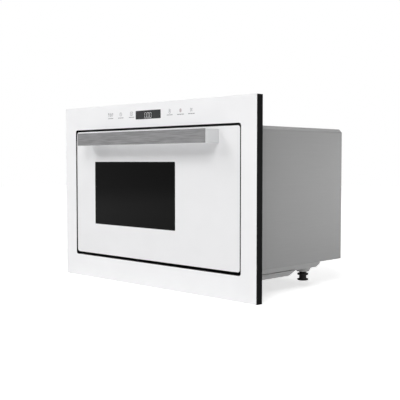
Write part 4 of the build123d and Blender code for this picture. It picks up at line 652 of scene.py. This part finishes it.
def screen_tree():
    """A sheet of hexagonal holes in rows, each row half a hole along from the last."""
    tree, given = grower(
        "pierced_screen",
        Float=("Pitch", "Open share", "Thickness"),
        Int=("Columns", "Row pairs"),
        Vector=("Middle",),
    )
    # One cell: a hexagon as wide as the pitch, with a hexagonal hole
    corner = add(tree, "ShaderNodeMath", {0: given["Pitch"], 1: 1 / 3**0.5}, operation="MULTIPLY")
    cell = add(tree, "GeometryNodeMeshCircle", {"Vertices": 6, "Radius": corner.outputs[0]}, fill_type="NGON")
    inset = add(
        tree, "GeometryNodeExtrudeMesh", {"Mesh": cell.outputs[0], "Offset Scale": 0.0, "Individual": True}
    )
    shrunk = add(
        tree,
        "GeometryNodeScaleElements",
        {"Geometry": inset.outputs["Mesh"], "Selection": inset.outputs["Top"], "Scale": given["Open share"]},
    )
    rim = add(
        tree,
        "GeometryNodeDeleteGeometry",
        {"Geometry": shrunk.outputs[0], "Selection": inset.outputs["Top"]},
        domain="FACE",
    )
    # Two grids of cells, the second half a pitch along and one row up
    row = add(tree, "ShaderNodeMath", {0: given["Pitch"], 1: ROW}, operation="MULTIPLY")
    half = add(tree, "ShaderNodeMath", {0: given["Pitch"], 1: 0.5}, operation="MULTIPLY")
    spans = []
    for count, step, share in (("Columns", given["Pitch"], 1.0), ("Row pairs", row.outputs[0], 2.0)):
        gaps = add(tree, "ShaderNodeMath", {0: given[count], 1: 1.0}, operation="SUBTRACT")
        scaled = add(tree, "ShaderNodeMath", {0: gaps.outputs[0], 1: share}, operation="MULTIPLY")
        span = add(tree, "ShaderNodeMath", {0: scaled.outputs[0], 1: step}, operation="MULTIPLY")
        spans.append(span.outputs[0])
    grid = add(
        tree,
        "GeometryNodeMeshGrid",
        {
            "Size X": spans[0],
            "Size Y": spans[1],
            "Vertices X": given["Columns"],
            "Vertices Y": given["Row pairs"],
        },
    )
    shift = add(tree, "ShaderNodeCombineXYZ", {"X": half.outputs[0], "Y": row.outputs[0]})
    moved = add(
        tree, "GeometryNodeTransform", {"Geometry": grid.outputs["Mesh"], "Translation": shift.outputs[0]}
    )
    dots = add(tree, "GeometryNodeJoinGeometry", {"Geometry": [grid.outputs["Mesh"], moved.outputs[0]]})
    cells = add(
        tree, "GeometryNodeInstanceOnPoints", {"Points": dots.outputs[0], "Instance": rim.outputs[0]}
    )
    real = add(tree, "GeometryNodeRealizeInstances", {"Geometry": cells.outputs[0]})
    joined = add(tree, "GeometryNodeMergeByDistance", {"Geometry": real.outputs[0], "Distance": WELD})
    # Given its thickness: the front face raised with its walls, and the back face turned over
    lift = add(tree, "ShaderNodeCombineXYZ", {"Z": given["Thickness"]})
    raised = add(
        tree,
        "GeometryNodeExtrudeMesh",
        {
            "Mesh": joined.outputs[0],
            "Offset": lift.outputs[0],
            "Offset Scale": 1.0,
            "Individual": False,
        },
    )
    under = add(tree, "GeometryNodeFlipFaces", {"Mesh": joined.outputs[0]})
    sheet = add(tree, "GeometryNodeJoinGeometry", {"Geometry": [raised.outputs["Mesh"], under.outputs[0]]})
    welded = add(tree, "GeometryNodeMergeByDistance", {"Geometry": sheet.outputs[0], "Distance": WELD})
    upright = add(
        tree,
        "GeometryNodeTransform",
        {"Geometry": welded.outputs[0], "Translation": given["Middle"], "Rotation": (pi / 2, 0, 0)},
    )
    whole = add(tree, "GeometryNodeJoinGeometry", {"Geometry": [upright.outputs[0], given["Geometry"]]})
    handed_out(tree, whole.outputs[0], given["Finish"])
    return tree


# The screen's unpierced border, from the CAD sheet's edge to the view; it covers the ragged ends of
# the outermost rows and columns of cells
low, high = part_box("screen")
middle = (low + high) / 2
columns, row_pairs = 76, 23
half_wide = (columns - 1.5) / 2 * PITCH
half_tall = (2 * row_pairs - 2) / 2 * ROW * PITCH
view = (middle.x - half_wide, middle.x + half_wide, middle.z - half_tall, middle.z + half_tall)
outer = (low.x, high.x, low.z, high.z)
around = ((outer, low.y), (view, low.y), (view, high.y), (outer, high.y))
corners = ((0, 2), (1, 2), (1, 3), (0, 3))
border = framed("screen_border", [[(side[i], y, side[j]) for side, y in around] for i, j in corners])
# The second grid lies half a pitch along and a row up, so the first lies back by half of that
mesh = grown(
    border,
    screen_tree(),
    {
        "Pitch": PITCH,
        "Open share": 0.64,
        "Thickness": SCREEN_SHEET,
        "Columns": columns,
        "Row pairs": row_pairs,
        "Middle": (middle.x - PITCH / 4, middle.y + SCREEN_SHEET / 2, middle.z - ROW * PITCH / 2),
        "Finish": choke_coat,
    },
)
placed("screen_pierced", mesh, "door", "choke_steel", "screen")

# The bent ring behind the front pane: a return along the edge, then a lap flat on the cabinet, one
# section mitred round the four corners. The real edge is folded tighter than the solid's bend, so
# the black is seen as wide as it is
RING_SHEET, RING_LAP, RING_FOLD = 1.2 * MM, 26 * MM, 0.4 * MM
low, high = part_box("trim_frame")
section = [(0.0, low.y)]
for step in range(4):
    turn = step * pi / 6
    section.append((RING_FOLD * (1 - cos(turn)), high.y - RING_FOLD + RING_FOLD * sin(turn)))
section += [(RING_LAP, high.y), (RING_LAP, high.y - RING_SHEET), (RING_SHEET, high.y - RING_SHEET)]
section.append((RING_SHEET, low.y))
corners = ((low.x, low.z, 1, 1), (high.x, low.z, -1, 1), (high.x, high.z, -1, -1), (low.x, high.z, 1, -1))
mitred = [[(x + right * inset, y, z + up * inset) for inset, y in section] for x, z, right, up in corners]
placed("trim_ring_bent", framed("trim_ring", mitred, black_coat), "oven", "black_enamel", "trim_frame")


# Printing on the glass, and the display's glow painted on it

# The ink's thickness and a line's width, in mm
INK = 0.04
LINE = 0.75
# At a sharp corner the mitre makes a line no more than 1 / 0.5 times as wide
LEAST_TURN = 0.5


def stroke(shape, points, width, closed=False):
    """A line of ink, or of the display's painted glow, along points (mm in X and Z): a thin closed strip on
    the glass's face.
    """
    count = len(points)
    sides = []
    for i, (x, z) in enumerate(points):
        back = points[i - 1] if closed or i > 0 else points[i]
        ahead = points[(i + 1) % count] if closed or i < count - 1 else points[i]
        run = hypot(ahead[0] - back[0], ahead[1] - back[1])
        across = (-(ahead[1] - back[1]) / run, (ahead[0] - back[0]) / run)
        reach = width / 2
        if back != points[i] and ahead != points[i]:
            before = hypot(x - back[0], z - back[1])
            turn = (across[0] * -(z - back[1]) + across[1] * (x - back[0])) / before
            reach /= max(turn, LEAST_TURN)
        sides.append([(x + side * reach * across[0], z + side * reach * across[1]) for side in (1, -1)])
    ring = [
        [shape.verts.new((x * MM, FRONT_Y + y * MM, z * MM)) for y in (-INK, 0.0) for x, z in pair]
        for pair in sides
    ]
    for i in range(count if closed else count - 1):
        a = ring[i]
        b = ring[(i + 1) % count]
        for p, q in ((0, 1), (1, 3), (3, 2), (2, 0)):
            shape.faces.new((a[p], a[q], b[q], b[p]))
    if not closed:
        for end in (ring[0], ring[-1]):
            shape.faces.new((end[0], end[1], end[3], end[2]))


def arc(x, z, radius, first=0.0, last=360.0, steps=24, flat=1.0):
    """Points round a circle, or part of one, in degrees; flat narrows it."""
    whole = abs(last - first) >= 360.0
    turns = [radians(first + (last - first) * i / steps) for i in range(steps if whole else steps + 1)]
    return [(x + flat * radius * cos(t), z + radius * sin(t)) for t in turns]


def printed(name, shape, ink, slot):
    """A finished print, or the display's painted glow, which rides on the oven."""
    placed(name, solid_mesh(name, shape, ink), "oven", slot)


# The signs' middles, in mm
SIGN_Z = 352.0
PLATE, CLOCK, WEIGHT, TIMER, START, STOP = -128.0, -93.0, -57.0, 63.0, 95.0, 126.0
# The middles of the weight's rounded corners, and the angle where each begins
BLOCK_CORNERS = ((2.5, 2.5, 0), (-2.5, 2.5, 90), (-2.5, -2.5, 180), (2.5, -2.5, 270))

# Each sign's closed lines, then its open ones, from the sign's middle
signs = bmesh.new()
for place, rounds, lines in (
    # A plate between a fork and a knife
    (
        PLATE,
        [arc(0, 0, 3.6), arc(0, 0, 1.6, steps=16)],
        [
            [(-7.0, 4.4), (-7.0, -4.0)],
            [(-8.2, 4.4), (-8.2, 1.8), (-5.8, 1.8), (-5.8, 4.4)],
            [(6.8, -4.0), (6.8, 4.4), (7.9, 2.6), (7.6, -0.4)],
        ],
    ),
    # A clock
    (CLOCK, [arc(0, 0, 3.6)], [[(0.0, 2.2), (0.0, 0.0), (1.8, -0.8)]]),
    # A weight: a rounded block with two lines
    (
        WEIGHT,
        [[point for x, z, first in BLOCK_CORNERS for point in arc(x, z, 1.2, first, first + 90, 4)]],
        [[(-2.0, 1.1), (2.0, 1.1)], [(-2.0, -1.2), (0.8, -1.2)]],
    ),
    # A sand glass: two round halves, one over the other
    (TIMER, [arc(0, 2.2, 2.0, steps=18), arc(0, -2.2, 2.3, steps=18)], []),
    # Stop: a cross with a bar beside it
    (
        STOP,
        [],
        [[(-2.6, 3.6), (-2.6, -3.6)], [(-1.4, 3.2), (2.9, -3.4)], [(-1.4, -3.4), (2.9, 3.2)]],
    ),
):
    for whole, group in ((True, rounds), (False, lines)):
        for points in group:
            stroke(signs, [(place + x, SIGN_Z + z) for x, z in points], LINE, whole)
# A broken line under each sign: its length and its number of parts
DASH_Z, DASH_LINE, DASH_GAP = 344.3, 1.3, 0.8
for place, wide, parts in (
    (PLATE, 17.6, 4), (CLOCK, 19.2, 3), (WEIGHT, 17.6, 4), (TIMER, 18.0, 4), (START, 20.4, 3), (STOP, 19.2, 3)
):
    step = wide / parts
    for part in range(parts):
        left = place - wide / 2 + part * step
        ends = (left + DASH_GAP / 2, left + step - DASH_GAP / 2)
        stroke(signs, [(end, DASH_Z) for end in ends], DASH_LINE)
printed("signs_grey", signs, grey_ink, "white_glass")

# Start: a filled oval, drawn as rings 1 mm apart, wide enough to touch
start = bmesh.new()
for ring in range(4):
    stroke(start, arc(START, SIGN_Z, 0.5 + ring, flat=0.78), 1.05, True)
printed("sign_start", start, pink_ink, "white_glass")

# Three plain zeros of six segments each, with the small gaps between the segments: the lit segments, their
# light painted as a pale colour
DIGIT_Z, HALF_TALL, HALF_WIDE, SEGMENT, SEGMENT_GAP = 346.65, 5.5, 2.75, 0.75, 0.5
digits = bmesh.new()
for digit_x in (-11.45, -3.7, 4.05):
    left, right = digit_x - HALF_WIDE, digit_x + HALF_WIDE
    for side in (1, -1):
        level = DIGIT_Z + side * HALF_TALL
        stroke(digits, [(left + SEGMENT_GAP, level), (right - SEGMENT_GAP, level)], SEGMENT)
        for edge in (left, right):
            ends = (level - side * SEGMENT_GAP, DIGIT_Z + side * SEGMENT_GAP)
            stroke(digits, [(edge, end) for end in ends], SEGMENT)
printed("display_digits", digits, segment_light, "display_dark")


# Studio


def seen_by_eye(tree):
    """1 for a ray that shows something to the eye, straight, mirrored or through glass, and 0 for
    one that only carries light."""
    path = add(tree, "ShaderNodeLightPath").outputs
    seen = path["Is Camera Ray"]
    for way in ("Is Glossy Ray", "Is Transmission Ray"):
        seen = add(tree, "ShaderNodeMath", {0: seen, 1: path[way]}, operation="MAXIMUM").outputs[0]
    return seen


WHITE = (1, 1, 1, 1)
scene = bpy.context.scene
scene.view_settings.view_transform = "Standard"

# A white background for the eye, and a faint even light for the object
AMBIENT = 0.1
world = bpy.data.worlds.new("studio")
scene.world = world
world.use_nodes = True
sky = world.node_tree
sky.nodes.clear()
ambient = add(sky, "ShaderNodeBackground", {"Color": WHITE, "Strength": AMBIENT})
backdrop = add(sky, "ShaderNodeBackground", {"Color": WHITE, "Strength": 1.0})
mixed = add(sky, "ShaderNodeMixShader", {0: seen_by_eye(sky), 1: ambient.outputs[0], 2: backdrop.outputs[0]})
add(sky, "ShaderNodeOutputWorld", {"Surface": mixed.outputs[0]})

# Seamless white paper under the object, 12 m wide. It keeps the object's shadow, and goes white away
# from it, by a glow that only the eye sees: 0.6 up to half a metre away, and 0.9 from 2.5 m on
FLOOR_Z = cad_box[0].z
EDGE = 6.0
floor_mesh = bpy.data.meshes.new("floor")
floor_mesh.from_pydata(
    [(-EDGE, -EDGE, FLOOR_Z), (EDGE, -EDGE, FLOOR_Z), (EDGE, EDGE, FLOOR_Z), (-EDGE, EDGE, FLOOR_Z)],
    [],
    [(0, 1, 2, 3)],
)
floor = bpy.data.objects.new("floor", floor_mesh)
scene.collection.objects.link(floor)
paper = bpy.data.materials.new("studio_paper_white")
paper.use_nodes = True
sheet = paper.node_tree
sheet.nodes.clear()
matt = add(sheet, "ShaderNodeBsdfDiffuse", {"Color": srgb("FBFBFB")})
centre = add(sheet, "ShaderNodeTexCoord").outputs["Object"]
distance = add(sheet, "ShaderNodeVectorMath", {0: centre}, operation="LENGTH").outputs["Value"]
away = add(
    sheet,
    "ShaderNodeMapRange",
    {"Value": distance, "From Min": 0.5, "From Max": 2.5, "To Min": 0.6, "To Max": 0.9},
)
glow = add(sheet, "ShaderNodeEmission", {"Color": WHITE, "Strength": away.outputs["Result"]})
lit = add(sheet, "ShaderNodeAddShader", {0: matt.outputs[0], 1: glow.outputs[0]})
shown = add(sheet, "ShaderNodeMixShader", {0: seen_by_eye(sheet), 1: matt.outputs[0], 2: lit.outputs[0]})
add(sheet, "ShaderNodeOutputMaterial", {"Surface": shown.outputs[0]})
floor_mesh.materials.append(paper)

# Soft square lamps: place, the point each looks at, side in m, power in W
OBJECT_MIDDLE = (0, 0, 0.18)
BODY_MIDDLE = (0, 0.1, 0.18)
for name, place, target, size, power in (
    ("key_left", (-2.24, -3.08, 2.73), OBJECT_MIDDLE, 2.0, 50.5),
    ("key_right", (1.96, -3.08, 2.87), OBJECT_MIDDLE, 2.0, 86.5),
    ("high_left", (-2.1, -1.4, 3.29), OBJECT_MIDDLE, 2.0, 40),
    ("side", (2.8, -0.9, 1.1), BODY_MIDDLE, 1.4, 2.4),
    ("side_low", (1.1, 0.3, 0.02), (0.26, 0.15, 0.05), 0.3, 2.6),
    ("along_side", (0.62, 1.25, 0.2), (0.26, 0.15, 0.17), 0.4, 2.5),
    ("rear", (0.4, 1.8, 2.2), BODY_MIDDLE, 1.4, 12),
):
    light = bpy.data.lights.new(name, "AREA")
    light.shape = "SQUARE"
    light.size = size
    light.energy = power
    lamp = bpy.data.objects.new(name, light)
    lamp.location = place
    lamp.rotation_mode = "QUATERNION"
    lamp.rotation_quaternion = (Vector(target) - Vector(place)).to_track_quat("-Z", "Y")
    scene.collection.objects.link(lamp)

# The camera was fitted to the photograph's corners: in front on the right, looking slightly down.
# Angles in degrees, lens and sensor in mm
LOOK_DOWN, LOOK_LEFT = 2.837, 44.866
camera_data = bpy.data.cameras.new("camera")
camera_data.lens = 69.22
camera_data.sensor_width = 36.0
camera = bpy.data.objects.new("camera", camera_data)
camera.location = (1.2147, -1.0856, 0.2489)
camera.rotation_euler = (radians(90 - LOOK_DOWN), 0, radians(LOOK_LEFT))
scene.collection.objects.link(camera)
scene.camera = camera
